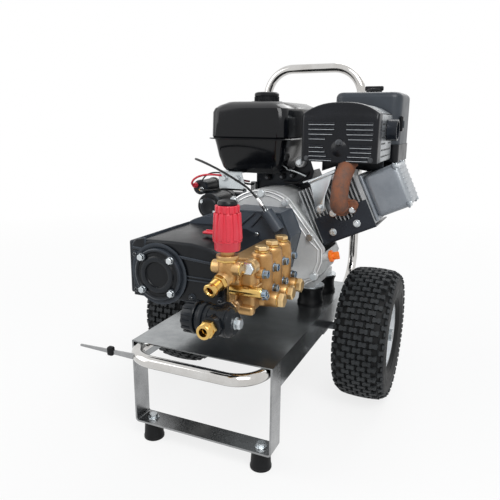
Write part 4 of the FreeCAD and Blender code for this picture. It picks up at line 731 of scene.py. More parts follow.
@dataclass
class PumpCase:
    """Black cast crankcase of the pump with its covers, ribs and red oil flag."""

    y0: float = 15.0
    y1: float = 215.8
    outline: tuple = ((-158, 332), (-158, 438), (-154, 446), (-146, 450), (-120, 452.5), (-70, 454), (-22, 454), (-2, 451.5),
                      (12, 449), (27, 443.5), (38, 436), (52, 420), (52, 340), (47, 334), (40, 332))

    def casting(self) -> None:
        """The body with rolled edges, cooling ribs and screw bosses."""
        make = Maker("pump_case_casting")
        make.slab(self.outline, self.y1 - self.y0, Stuff.cast_paint, flat_xz(self.y1), 7, 4)
        make.slab([(-159, 331), (-159, 440), (-150, 451.6), (-132, 455.4), (-126, 455.4), (-126, 331)], 6, Stuff.cast_paint,
                  flat_xz(self.y0 + 5), 2.4, 3)
        make.slab([(-159, 331), (-159, 440), (-150, 451.6), (-140, 455), (-140, 331)], 194, Stuff.cast_paint,
                  flat_xz(self.y1 - 2), 2.4, 3)
        for row in range(3):
            make.block((-159.6, self.y0 + 4, 436 - row * 7), (-156, self.y1 - 4, 439 - row * 7), Stuff.cast_paint, 1.2, 2)
        make.lathe([(54.6, 13.2), (62, 13.2), (64, 11.6), (64, 10), (57, 9.6), (54.6, 10.6)], Stuff.cast_paint,
                   (PUMP_AXIS_X, 0, PUMP_AXIS_Z), Y, 72, closed=True)
        make.block((-36, self.y0 - 2.6, 386), (44, self.y0 + 2, 389), Stuff.cast_paint, 1.2, 2)
        make.block((-36, self.y0 - 2.6, 379), (44, self.y0 + 2, 382), Stuff.cast_paint, 1.2, 2)
        rib = [(-158, 431), (-158, 436), (52, 420), (52, 415)]
        make.slab(rib, 5, Stuff.cast_paint, flat_xz(self.y0 + 2), 1.4, 2)
        for x, z in ((-150, 420), (-150, 345), (-20, 344), (44, 408), (44, 346)):
            make.lathe([(0, -3), (7, -3), (8.6, 0), (8.6, 6), (0, 6)], Stuff.cast_paint, (x, self.y0, z), Y, 28)
            make.cap_screw((x, self.y0 - 3, z), -Y, 4.6, 4, Stuff.dark_steel)
        for y in (50, 96, 142, 188):
            make.block((50.2, y - 2.2, 342), (53.8, y + 2.2, 428), Stuff.cast_paint, 1.2, 2)
        make.lathe([(8.05, 0), (12, 0), (13, 1), (13, 16.6), (12, 18), (8.05, 18)], Stuff.cast_paint, (6, 92, 440), Z, 32, closed=True)
        make.finish_piece("frame", ["pump_crankcase"], crease=36)

    def covers(self) -> None:
        """Stepped bearing cover with a raised ring, and the screwed sump plate."""
        make = Maker("pump_bearing_covers")
        centre = (PUMP_AXIS_X, 0, PUMP_AXIS_Z)
        make.lathe([(0, 5), (25, 5), (26, 4), (27, 1.2), (29, 0.2), (36, 0.2), (38, 1.4), (40, 4), (45, 4.6), (47, 2.4), (51, 2.2),
                    (53.6, 4), (54, 11.8), (46, 12), (46, 20), (17.2, 20), (17.2, 12), (0, 12)], Stuff.cast_paint, centre, Y, 64,
                   closed=True)
        for sx in (-1, 1):
            for sz in (-1, 1):
                make.lathe([(0, 4), (8, 4), (9.4, 2), (9.4, 0.6), (8.4, 0), (0, 0)], Stuff.cast_paint,
                           (PUMP_AXIS_X + 34 * sx, 0, PUMP_AXIS_Z + 34 * sz), Y, 28)
        make.block((-170, 19, 334), (-158.1, 211.8, 446), Stuff.cast_paint, 4, 3)
        for y in (30, 90, 148, 200):
            for z in (343, 437):
                make.cap_screw((-169.8, y, z), -X, 4.6, 3.6, Stuff.dark_steel)
        make.finish_piece("frame", ["pump_covers"])

    def oil_flag(self) -> None:
        """Red push-in oil cap with its flag and vent."""
        make = Maker("red_oil_flag")
        make.lathe([(0, -9), (7.2, -9), (7.6, 0), (11.6, 0.4), (12.6, 1.4), (12.6, 6.4), (11.4, 7.6), (0, 7.6)], Stuff.red_plastic,
                   (6, 92, 458.3), Z, 36)
        make.block((-33, 82, 459.4), (6, 102, 465.0), Stuff.red_plastic, 2.4, 3)
        make.block((-28, 90.6, 464.6), (2, 93.4, 468), Stuff.red_plastic, 0.8, 2)
        make.rod((6, 92, 465.6), Z, 4.4, 2.8, Stuff.red_plastic, 24, 0.8)
        make.finish_piece("oil_cap", ["oil_cap"])

    def build(self) -> None:
        """Make all pieces of the pump's case."""
        self.casting()
        self.covers()
        self.oil_flag()


@dataclass
class Unloader:
    """Brass pressure valve with side plugs, outlet nipple and the ribbed red knob."""

    x: float = 71.0
    y: float = -10.0
    knob_low: float = 457.0
    outlet: Vector = field(default_factory=lambda: Vector((-0.15, -0.95, -0.27)).normalized())

    def valve(self) -> None:
        """The forged tee, its hexagon, plugs and the link to the head."""
        make = Maker("brass_unloader_valve")
        make.lathe([(0, 393), (9, 393), (13, 396), (16, 400), (16.6, 412), (18.4, 418), (18.4, 430), (16.4, 436), (15.2, 440),
                    (15.2, 441), (20.4, 441.4), (21, 443), (21, 447.4), (20.4, 448.6), (13, 449), (13, 455.6), (0, 455.6)],
                   Stuff.forged_brass, (self.x, self.y, 0), Z, 48)
        make.hexagon((self.x, self.y, 436), Z, 35, 6, Stuff.turned_brass, 0.2, 1.2)
        make.rod((self.x, self.y, 452), Z, 6, 87, Stuff.turned_brass, 24, 0.6)
        make.lathe([(0, -28), (12.6, -28), (13.4, -26.6), (13.4, 26.6), (12.6, 28), (0, 28)], Stuff.forged_brass,
                   (self.x, self.y, 424), X, 36)
        for side in (-1, 1):
            face = Vector((self.x + side * 28, self.y, 424))
            make.lathe([(0, -4), (8, -4), (8.8, 1.6), (12, 1.6), (13, 0.4), (13, -1), (0, -6)], Stuff.turned_brass, face, X * side, 36)
        make.rod((self.x + 8, self.y + 8, 404), Y, 10, 20, Stuff.forged_brass, 32, 0.8)
        make.lathe([(0, -10), (14, -10), (15.4, -8), (15.4, 20), (14.6, 22), (0, 22)], Stuff.forged_brass, (self.x, self.y, 408),
                   self.outlet, 40)
        make.finish_piece("frame", ["unloader_body"], crease=36)

    def nipples(self) -> None:
        """Outlet nipple with its hexagon and rolled thread, and the threaded pipe to the head."""
        make = Maker("threaded_brass_nipples")
        start = Vector((self.x, self.y, 408)) + self.outlet * 22
        make.hexagon(start + self.outlet * 0.2, self.outlet, 28, 9, Stuff.turned_brass, 0.3, 1.4)
        thread: list[tuple[float, float]] = [(6.5, 9)]
        for turn in range(9):
            thread += [(10.6, 9.4 + turn * 1.9), (11.6, 10.2 + turn * 1.9), (11.6, 10.6 + turn * 1.9)]
        thread += [(12.6, 27), (13.2, 28), (13.2, 35), (12.2, 36), (8.4, 36), (6.5, 33)]
        make.lathe(thread, Stuff.turned_brass, start, self.outlet, 44, closed=True)
        pipe: list[tuple[float, float]] = [(5.9, -34), (8, -34), (8, -26), (10.5, -25.6)]
        for turn in range(9):
            pipe += [(10.5, -25.2 + turn * 3.1), (9.3, -24.2 + turn * 3.1), (9.3, -23.6 + turn * 3.1), (10.5, -22.6 + turn * 3.1)]
        pipe += [(10.5, 2.2), (8, 2.4), (8, 30), (5.9, 30)]
        make.lathe(pipe, Stuff.pipe_brass, (80, 0, 347), Y, 36, closed=True)
        make.hexagon((80, -15.8, 347), Y, 22, 10, Stuff.pipe_brass, 0.1, 1.2)
        make.finish_piece("frame", ["brass_nipples"])

    def knob(self) -> None:
        """Barrel-shaped red knob with ribs, a notched crown and a black cap nut."""
        make = Maker("red_ribbed_knob")
        low = self.knob_low
        make.lathe([(6.2, 0), (21, 0), (23, 0.8), (23.8, 2.4), (24.6, 18), (25.4, 19.4), (25.2, 21), (25, 34), (23.8, 50), (21.8, 66),
                    (20.6, 68), (20.4, 81.6), (19.4, 83), (6.2, 83)], Stuff.red_plastic, (self.x, self.y, low), Z, 72, closed=True)
        for step in range(12):
            turn = Matrix.Translation((self.x, self.y, low)) @ Matrix.Rotation(TURN * step / 12, 4, "Z")
            lean = Matrix.Rotation(math.radians(-3.2), 4, "Y")
            make.block((22.6, -3.9, 19), (27.4, 3.9, 69), Stuff.red_plastic, 2.0, 3, turn @ Matrix.Translation((1.2, 0, 0)) @ lean)
            make.block((22.4, -4.6, 16.6), (26.6, 4.6, 20.4), Stuff.red_plastic, 1.2, 2, turn)
            make.block((18.4, -3.3, 70), (22.6, 3.3, 83), Stuff.red_plastic, 1.5, 3,
                       turn @ Matrix.Rotation(TURN / 24, 4, "Z"))
        make.lathe([(0, 83), (17.4, 83), (18.2, 84.4), (17.8, 88), (15.6, 91), (9, 92.6), (0, 93)], Stuff.black_plastic,
                   (self.x, self.y, low), Z, 40)
        make.finish_piece("unloader_knob", ["unloader_knob"])

    def build(self) -> None:
        """Make all pieces of the unloader."""
        self.valve()
        self.nipples()
        self.knob()


@dataclass
class WaterFilter:
    """Black inlet filter with its ribbed bowl, drain plug and brass coupling."""

    y: float = -60.0
    z: float = 339.0
    inlet_x: float = 80.0
    front: float = -122.0

    def housing(self) -> None:
        """The moulded barrel, the sockets and the rings between them."""
        make = Maker("black_filter_housing")
        axis_at = (0, self.y, self.z)
        make.lathe([(22, 40.1), (25, 40.1), (26.6, 41), (27, 44), (27, 48), (30, 48.6), (30.4, 50), (30.4, 54.6), (30, 56), (27, 56.6),
                    (27, 62), (28.4, 62.6), (28.4, 65), (27, 65.6), (27, 96), (28.4, 96.6), (28.4, 99), (27, 99.6), (27, 104),
                    (24, 108), (22, 109), (20, 111.8), (12, 112), (12, 103), (22, 103)], Stuff.filter_plastic, axis_at, X, 56,
                   closed=True)
        make.lathe([(9, 0), (16, 0), (18.6, 1), (19, 3), (19, 10), (18.2, 11), (18.2, 34), (9, 34)], Stuff.filter_plastic,
                   (self.inlet_x, self.front + 24, self.z), Y, 44, closed=True)
        for step in range(8):
            ring_turn = Matrix.Translation((self.inlet_x, 0, self.z)) @ Matrix.Rotation(TURN * step / 8, 4, "Y")
            make.block((17, self.front + 27, -2), (20, self.front + 44, 2), Stuff.filter_plastic, 0.8, 2, ring_turn)
        make.lathe([(8.2, 0), (16, 0), (16, 29), (17.6, 30), (17.6, 33.6), (16.4, 34.4), (8.2, 34.4)], Stuff.filter_plastic,
                   (self.inlet_x, self.y, self.z + 8), Y, 40, closed=True)
        make.hex_bolt((111.6, self.y, self.z), X, 17, Stuff.zinc, 11.5, 0.4)
        make.finish_piece("frame", ["filter_body"])

    def bowl(self) -> None:
        """Screw bowl with ribs and a domed end."""
        make = Maker("black_filter_bowl")
        make.lathe([(22, 0), (30, 0), (31, 1.4), (31, 5), (29.4, 6), (29, 20), (27, 25), (22, 27.4), (8, 28), (6, 27.2), (0, 27.2),
                    (0, 23), (22, 22)], Stuff.filter_plastic, (39.6, self.y, self.z), -X, 52)
        for step in range(14):
            spin = Matrix.Translation((39.6, self.y, self.z)) @ Matrix.Rotation(TURN * step / 14, 4, "X")
            make.block((-24, 27, -3.0), (-3, 31.3, 3.0), Stuff.filter_plastic, 1.3, 2, spin)
        make.finish_piece("filter_cap", ["filter_cap"])

    def coupling(self) -> None:
        """Brass hose coupling with its hexagon, thread and bored mouth."""
        low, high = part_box("inlet_fitting")
        log.info("inlet fitting %s %s", low, high)
        make = Maker("brass_hose_coupling")
        coil: list[tuple[float, float]] = [(8.0, -122), (12.6, -122), (13.2, -121.2)]
        for turn in range(5):
            coil += [(13.2, -120.6 + turn * 2.2), (12.2, -119.8 + turn * 2.2), (12.2, -119.4 + turn * 2.2), (13.2, -118.8 + turn * 2.2)]
        coil += [(13.2, -109), (8.0, -109)]
        make.lathe(coil, Stuff.turned_brass, (self.inlet_x, 0, self.z), Y, 44, closed=True)
        make.lathe([(8.0, -109.2), (15.5, -109.2), (16, -108.6), (16, -98.6), (8.0, -98.6)], Stuff.turned_brass,
                   (self.inlet_x, 0, self.z), Y, 6, closed=True)
        make.rod((self.inlet_x, -98.7, self.z), Y, 10.9, 9, Stuff.turned_brass, 32, 0.6, hole=8.0)
        make.finish_piece("inlet_fitting", ["inlet_fitting"])

    def build(self) -> None:
        """Make all pieces of the filter."""
        self.housing()
        self.bowl()
        self.coupling()


# ---------------------------------------------------------------- engine
@dataclass
class FuelTank:
    """Pressed black tank in two halves with a rolled seam, filler neck and cap."""

    x0: float = -134.0
    x1: float = 62.0
    y0: float = 302.0
    y1: float = 592.0
    seam: float = 646.0
    top: float = 715.0
    cap: tuple[float, float] = (-24.0, 400.0)

    def rounded_ring(self, inset: float, corner: float) -> list[tuple[float, float]]:
        """Outline of the tank in plan with round corners.

        Args:
            inset: How far inside the tank's widest outline.
            corner: Corner radius.

        Returns:
            Points in X, Y.
        """
        points = []
        for sx, sy, begin in ((1, 1, 0), (-1, 1, 90), (-1, -1, 180), (1, -1, 270)):
            cx = (self.x1 if sx > 0 else self.x0) - sx * (inset + corner)
            cy = (self.y1 if sy > 0 else self.y0) - sy * (inset + corner)
            for step in range(9):
                turn = math.radians(begin + step * 90 / 8)
                points.append((cx + corner * math.cos(turn), cy + corner * math.sin(turn)))
        return points

    def shell(self) -> None:
        """Loft the tank through its pressed sections, from the floor to the crown."""
        make = Maker("pressed_fuel_tank")
        seam = self.seam
        sections = [(562.5, 42, 16), (563, 33, 18), (567, 26, 20), (576, 20, 22), (602, 12, 24), (630, 7, 25), (seam - 2.8, 4, 26),
                    (seam - 2.7, -6.6, 33), (seam - 1.8, -7.9, 34), (seam - 0.8, -8, 34), (seam + 0.2, -6.6, 33), (seam + 0.4, 1.4, 27),
                    (seam + 4, 0, 26), (706, 1.5, 26), (715, 4.5, 28), (722, 13, 28), (727, 24, 26), (730, 30, 24), (731, 38, 20)]
        part = bmesh.new()
        rings = []
        for height, inset, corner in sections:
            verts = [part.verts.new((x, y, height)) for x, y in self.rounded_ring(inset, corner)]
            rings.append([part.edges.new((a, b)) for a, b in zip(verts, verts[1:] + verts[:1])])
        for low, high in zip(rings, rings[1:]):
            bmesh.ops.bridge_loops(part, edges=low + high)
        bmesh.ops.holes_fill(part, edges=rings[0], sides=0)
        well = [part.verts.new((self.cap[0] + 35 * math.cos(TURN * step / 48), self.cap[1] + 35 * math.sin(TURN * step / 48), 731))
                for step in range(48)]
        rim = [part.edges.new((a, b)) for a, b in zip(well, well[1:] + well[:1])]
        bmesh.ops.triangle_fill(part, edges=rings[-1] + rim, use_beauty=True)
        sunk = bmesh.ops.extrude_edge_only(part, edges=rim)
        lower = [item for item in sunk["geom"] if isinstance(item, bmesh.types.BMVert)]
        bmesh.ops.translate(part, vec=(0, 0, -17), verts=lower)
        bmesh.ops.holes_fill(part, edges=[item for item in sunk["geom"] if isinstance(item, bmesh.types.BMEdge)
                                          and all(v in lower for v in item.verts)], sides=0)
        make.put(part, Stuff.tank_enamel)
        make.lathe([(33.4, 0), (35, 1.8), (37.4, 2), (38.6, 0), (38.6, -1), (33.4, -1)], Stuff.tank_enamel, (*self.cap, 731), Z, 56,
                   closed=True)
        make.lathe([(22.3, -6), (29, -4), (31, -1.6), (30, 0.6), (26, 1.4), (25, 3), (25, 11), (24, 12), (22.3, 12)], Stuff.tank_enamel,
                   (*self.cap, self.top), Z, 56, closed=True)
        make.rod((*self.cap, self.top - 3), Z, 22.6, 3.4, Stuff.dark_hole, 40, 0.2)
        make.finish_piece("frame", ["fuel_tank"], crease=30)

    def filler_cap(self) -> None:
        """Moulded cap with a knurled skirt and a stepped top."""
        make = Maker("knurled_fuel_cap")
        at = (*self.cap, self.top + 2)
        make.lathe([(25.8, 0), (29, 0), (30, 1), (30, 12), (28.6, 13.4), (28.6, 27), (30, 28.4), (30, 33), (28, 36), (23, 37.6), (10, 37.9),
                    (8, 36.8), (0, 36.8), (0, 11), (25.8, 11)], Stuff.black_plastic, at, Z, 72)
        for step in range(36):
            turn = Matrix.Translation(at) @ Matrix.Rotation(TURN * step / 36, 4, "Z")
            make.block((28.0, -1.1, 13.6), (30.6, 1.1, 27), Stuff.black_plastic, 0.7, 1, turn)
        make.finish_piece("fuel_cap", ["fuel_cap"])

    def stay_plate(self) -> None:
        """Bright triangular bracket under the tank's front-left corner."""
        make = Maker("tank_support_bracket")
        plate = [(-128, 520), (-62, 520), (-56, 528), (-66, 562), (-122, 562), (-130, 552)]
        make.slab(plate, 2.4, Stuff.zinc, flat_xz(346.0), 0.5, 1)
        make.block((-126, 338, 561), (-60, 372, 563.6), Stuff.zinc, 0.6, 1)
        make.hex_bolt((-112, 343.4, 546), -Y, 12, Stuff.zinc, 9)
        make.hex_bolt((-76, 343.4, 546), -Y, 12, Stuff.zinc, 9)
        make.finish_piece("frame")

    def build(self) -> None:
        """Make all pieces of the tank."""
        self.shell()
        self.filler_cap()
        self.stay_plate()


@dataclass
class SilencerGuard:
    """Louvred sheet guard with a crowned top, a perforated side and the outlet's deflector."""

    x0: float = 101.0
    x1: float = 272.0
    y0: float = 300.0
    y1: float = 470.0
    z0: float = 597.0
    z1: float = 729.0
    tail: tuple[float, float] = (410.0, 668.0)
    lip: float = 38.0
    crease: float = 693.0

    def arch(self, inset: float) -> list[tuple[float, float]]:
        """Front outline: upright sides, round shoulders and a low crown."""
        half = (self.x1 - self.x0) / 2 - inset
        mid = (self.x0 + self.x1) / 2
        points = [(mid - half, self.z0 + 2), (mid + half, self.z0 + 2)]
        for step in range(17):
            share = 1 - step / 8
            points.append((mid + half * share, self.z1 - 1 - inset - 24 * abs(share) ** 2.6))
        return points

    def panels(self) -> None:
        """Front panel with its crease and louvres, crowned top and back panel."""
        make = Maker("silencer_guard_sheet")
        shell = bmesh.new()
        face = shell.faces.new([shell.verts.new((x, z, 0)) for x, z in self.arch(0.2)])
        grown = bmesh.ops.extrude_face_region(shell, geom=[face])
        bmesh.ops.translate(shell, vec=(0, 0, self.lip),
                            verts=[v for v in grown["geom"] if isinstance(v, bmesh.types.BMVert)])
        Maker.close_back(shell)
        bmesh.ops.bisect_plane(shell, geom=list(shell.verts) + list(shell.edges) + list(shell.faces), dist=1e-4,
                               plane_co=(0, self.crease, 0), plane_no=(0, 1, 0))
        front = {v for v in shell.verts if v.co.z > self.lip - 1e-3}
        for vert in front:
            vert.co.z -= max(0.0, vert.co.y - self.crease) * 0.42
        rims = [e for e in shell.edges if set(e.verts) <= front and max(v.co.y for v in e.verts) > self.z0 + 4]
        bmesh.ops.bevel(shell, geom=rims, offset=7, segments=5, profile=0.5, affect="EDGES", material=-1)
        floor = [f for f in shell.faces if f.calc_center_median().y < self.z0 + 2.5 and abs(f.normal.y) > 0.9]
        bmesh.ops.delete(shell, geom=floor, context="FACES")
        make.put(shell, Stuff.sheet_paint, flat_xz(self.y0 + 0.2 + self.lip))
        wrap = bmesh.new()
        face = wrap.faces.new([wrap.verts.new((x, z, 0)) for x, z in self.arch(2.2)])
        grown = bmesh.ops.extrude_face_region(wrap, geom=[face])
        bmesh.ops.translate(wrap, vec=(0, 0, self.y1 - self.y0 - self.lip + 3),
                            verts=[v for v in grown["geom"] if isinstance(v, bmesh.types.BMVert)])
        Maker.close_back(wrap)
        floor = [f for f in wrap.faces if f.calc_center_median().y < self.z0 + 2.5 and abs(f.normal.y) > 0.9]
        bmesh.ops.delete(wrap, geom=floor, context="FACES")
        make.put(wrap, Stuff.side_sheet, flat_xz(self.y1 - 0.4))
        mid = (self.x0 + self.x1) / 2
        rows = ((680, 118, 176, 203, 260), (669.5, 118, 176, 203, 260), (659, 118, 172, 204, 260), (648.5, 119, 156, 208, 260),
                (630.5, 120, 152, 212, 259), (621, 120, 156, 214, 259), (611.5, 120, 160, 208, 259), (602.6, 121, 172, 205, 258))
        for z, *ends in rows:
            for left, right in (ends[:2], ends[2:]):
                make.block((left, self.y0 - 0.5, z), (right, self.y0 + 2, z + 3.0), Stuff.dark_hole, 0.6, 1)
                make.block((left - 1.5, self.y0 - 3.2, z + 2.6), (right + 1.5, self.y0 + 2, z + 6.0), Stuff.sheet_paint, 1.5, 3,
                           taper=lambda co, top=z + 4.6: setattr(co, "y", co.y + 2.4) if co.z > top and co.y < self.y0 else None)
                # Painted highlight: a thin light strip along each slot's lower lip.
                make.block((left, self.y0 - 1.0, z - 0.8), (right, self.y0 + 1, z + 0.4), Stuff.louvre_highlight_line, 0.3, 1)
        make.lathe([(19, 0.6), (16, -0.6), (11, -3.4), (6, -4.6), (0, -5)], Stuff.sheet_paint, (mid + 2, self.y0, 629), Y, 44)
        make.lathe([(5.2, -3), (8, -2.2), (8, 1), (5.2, 1)], Stuff.dark_steel, (mid + 2, self.y0 - 1, 641), Y, 28, closed=True)
        make.hex_bolt((mid + 2, self.y0 - 1, 641), -Y, 9, Stuff.dark_steel, 6.5)
        for x in (self.x0 + 14, self.x1 - 14):
            make.hex_bolt((x, self.y0 + 0.4, self.z0 + 9), -Y, 8, Stuff.dark_steel, 6)
        make.finish_piece("frame", ["muffler_guard"], crease=28)

    def side_plate(self) -> None:
        """Perforated bright sheet on the right, and the oval deflector over the outlet."""
        make = Maker("perforated_side_sheet")
        make.block((self.x1 - 2.6, self.y0 + 34, self.z0 + 4), (self.x1 - 0.4, self.y1 - 4, self.z1 - 30), Stuff.side_sheet, 0.5, 1)
        for row in range(6):
            for column in range(7):
                y = self.y0 + 50 + column * 17.0
                z = self.z0 + 14 + row * 14.0
                if (y - self.tail[0]) ** 2 + (z - self.tail[1]) ** 2 < 33 ** 2:
                    continue
                make.block((self.x1 - 1.2, y - 5.2, z - 2), (self.x1 - 0.1, y + 5.2, z + 2), Stuff.dark_hole, 0.35, 1)
        for column in range(9):
            y = self.y0 + 48 + column * 13.0
            make.block((self.x1 - 1.6, y - 1.2, self.z1 - 27), (self.x1 - 0.6, y + 6, self.z1 - 25), Stuff.dark_hole, 0.35, 1)
        make.finish_piece("frame")
        hood = Maker("outlet_deflector")
        hood.lathe([(20, 0), (24, 0), (24, 21), (23, 22), (21, 22), (20, 21)], Stuff.sheet_paint, (self.x1 + 1, *self.tail), X, 44,
                   closed=True)
        hood.lathe([(11, -20), (13, -20), (13, 12), (11, 12)], Stuff.hot_steel, (self.x1 + 1, *self.tail), X, 36, closed=True)
        hood.rod((self.x1 + 1.2, *self.tail), X, 21, 0.8, Stuff.dark_hole, 40, 0.2)
        hood.finish_piece("frame")

    def nuts(self) -> None:
        """Three flange nuts on the rusty elbow."""
        make = Maker("exhaust_flange_nuts")
        for degrees in (200, 320, 90):
            turn = math.radians(degrees)
            local = Vector((205 + 26 * math.cos(turn), 316 - 7.2, 26 * math.sin(turn)))
            at = cylinder_frame() @ local
            make.rod(at, Y, 9.5, 5, Stuff.rust, 28, 1.0)
            make.hex_bolt(at, -Y, 11, Stuff.zinc, 8)
        make.lathe([(13, 0), (20, 0), (24, 1.4), (24, 5), (22, 6), (13, 6)], Stuff.rust, cylinder_frame() @ Vector((205, 308.8, 0)), Y, 44,
                   closed=True)
        make.pipe([(197.8, 309, 502.6), (197.8, 294, 502.6), (198, 284, 510), (199, 283, 535), (201, 288, 562), (204, 299, 578),
                   (205, 318, 590), (205, 326, 600), (205, 326, 614)], 19.5, Stuff.rust)
        make.rod((205, 323, 590), Z, 22, 7, Stuff.rust, 40, 1.6)
        make.lathe([(0, 0), (11, 0), (12.5, 1.5), (12.5, 6), (0, 6)], Stuff.rust, (224, 304.6, 506), Y, 32)
        make.block((200, 305.6, 494), (226, 310.6, 518), Stuff.rust, 2.5, 3)
        make.finish_piece("frame", ["exhaust_pipe"])

    def build(self) -> None:
        """Make all pieces of the silencer."""
        self.panels()
        self.side_plate()
        self.nuts()


@dataclass
class AirCleaner:
    """Moulded lid with a rounded shoulder, a clip, a filter element and the wing knob."""

    x0: float = 120.0
    x1: float = 286.0
    y0: float = 492.0
    y1: float = 652.0
    low: float = 632.6
    top: float = 757.0

    def lid(self) -> None:
        """Lofted lid whose wall is left open below."""
        make = Maker("moulded_cleaner_lid")
        box_part = bmesh.new()
        bmesh.ops.create_cube(box_part, size=1.0)
        size = (self.x1 - self.x0 - 0.6, self.y1 - self.y0 - 0.6, self.top - self.low)
        bmesh.ops.scale(box_part, vec=size, verts=box_part.verts)
        bmesh.ops.translate(box_part, vec=((self.x0 + self.x1) / 2, (self.y0 + self.y1) / 2, (self.low + self.top) / 2),
                            verts=box_part.verts)
        upright = [e for e in box_part.edges if abs(e.verts[0].co.z - e.verts[1].co.z) > 1]
        bmesh.ops.bevel(box_part, geom=upright, offset=26, segments=8, profile=0.5, affect="EDGES", material=-1)
        crown = [e for e in box_part.edges if min(v.co.z for v in e.verts) > self.top - 0.1]
        bmesh.ops.bevel(box_part, geom=crown, offset=14, segments=5, profile=0.5, affect="EDGES", material=-1)
        floor = [f for f in box_part.faces if f.normal.z < -0.9]
        bmesh.ops.delete(box_part, geom=floor, context="FACES")
        bmesh.ops.recalc_face_normals(box_part, faces=box_part.faces)
        bmesh.ops.solidify(box_part, geom=list(box_part.faces), thickness=2.6)
        make.put(box_part, Stuff.lid_plastic)
        for y in (530, 612):
            make.block((self.x0 + 30, y - 2, self.top - 1.2), (self.x1 - 30, y + 2, self.top + 0.4), Stuff.lid_plastic, 0.8, 2)
        make.block((196, self.y0 - 3.0, 640), (212, self.y0 + 1, 668), Stuff.zinc, 1.2, 2)
        make.block((199, self.y0 - 4.6, 650), (209, self.y0 - 1, 658), Stuff.zinc, 1.4, 2)
        make.block((self.x1 - 3, 500, 664), (self.x1 + 5.0, 522, 700), Stuff.black_plastic, 2.2, 3)
        make.block((self.x1 + 2, 504, 672), (self.x1 + 8.0, 518, 690), Stuff.lid_plastic, 2.0, 3)
        make.finish_piece("cleaner_cover", ["cleaner_cover"])
        skirt = Maker("cleaner_lower_duct")
        skirt.block((214, 506, 536), (284.6, 650, 591), Stuff.black_plastic, 9, 4)
        skirt.finish_piece("frame")

    def knob(self) -> None:
        """Winged nut on the lid."""
        make = Maker("winged_cleaner_nut")
        make.lathe([(3.2, 0.6), (18, 0.6), (19.6, 2), (19.6, 8), (17, 11.4), (9, 12.6), (3.2, 12.6)], Stuff.black_plastic,
                   (203, 572, self.top), Z, 44, closed=True)
        make.block((179.4, 567.6, self.top + 6), (226.6, 576.4, self.top + 18), Stuff.black_plastic, 3.4, 4)
        for step in range(18):
            turn = Matrix.Translation((203, 572, self.top)) @ Matrix.Rotation(TURN * step / 18, 4, "Z")
            make.block((18.6, -1.2, 2), (20.2, 1.2, 8.6), Stuff.black_plastic, 0.5, 1, turn)
        make.finish_piece("cleaner_knob", ["cleaner_knob"])

    def build(self) -> None:
        """Make all pieces of the air cleaner."""
        self.lid()
        self.knob()


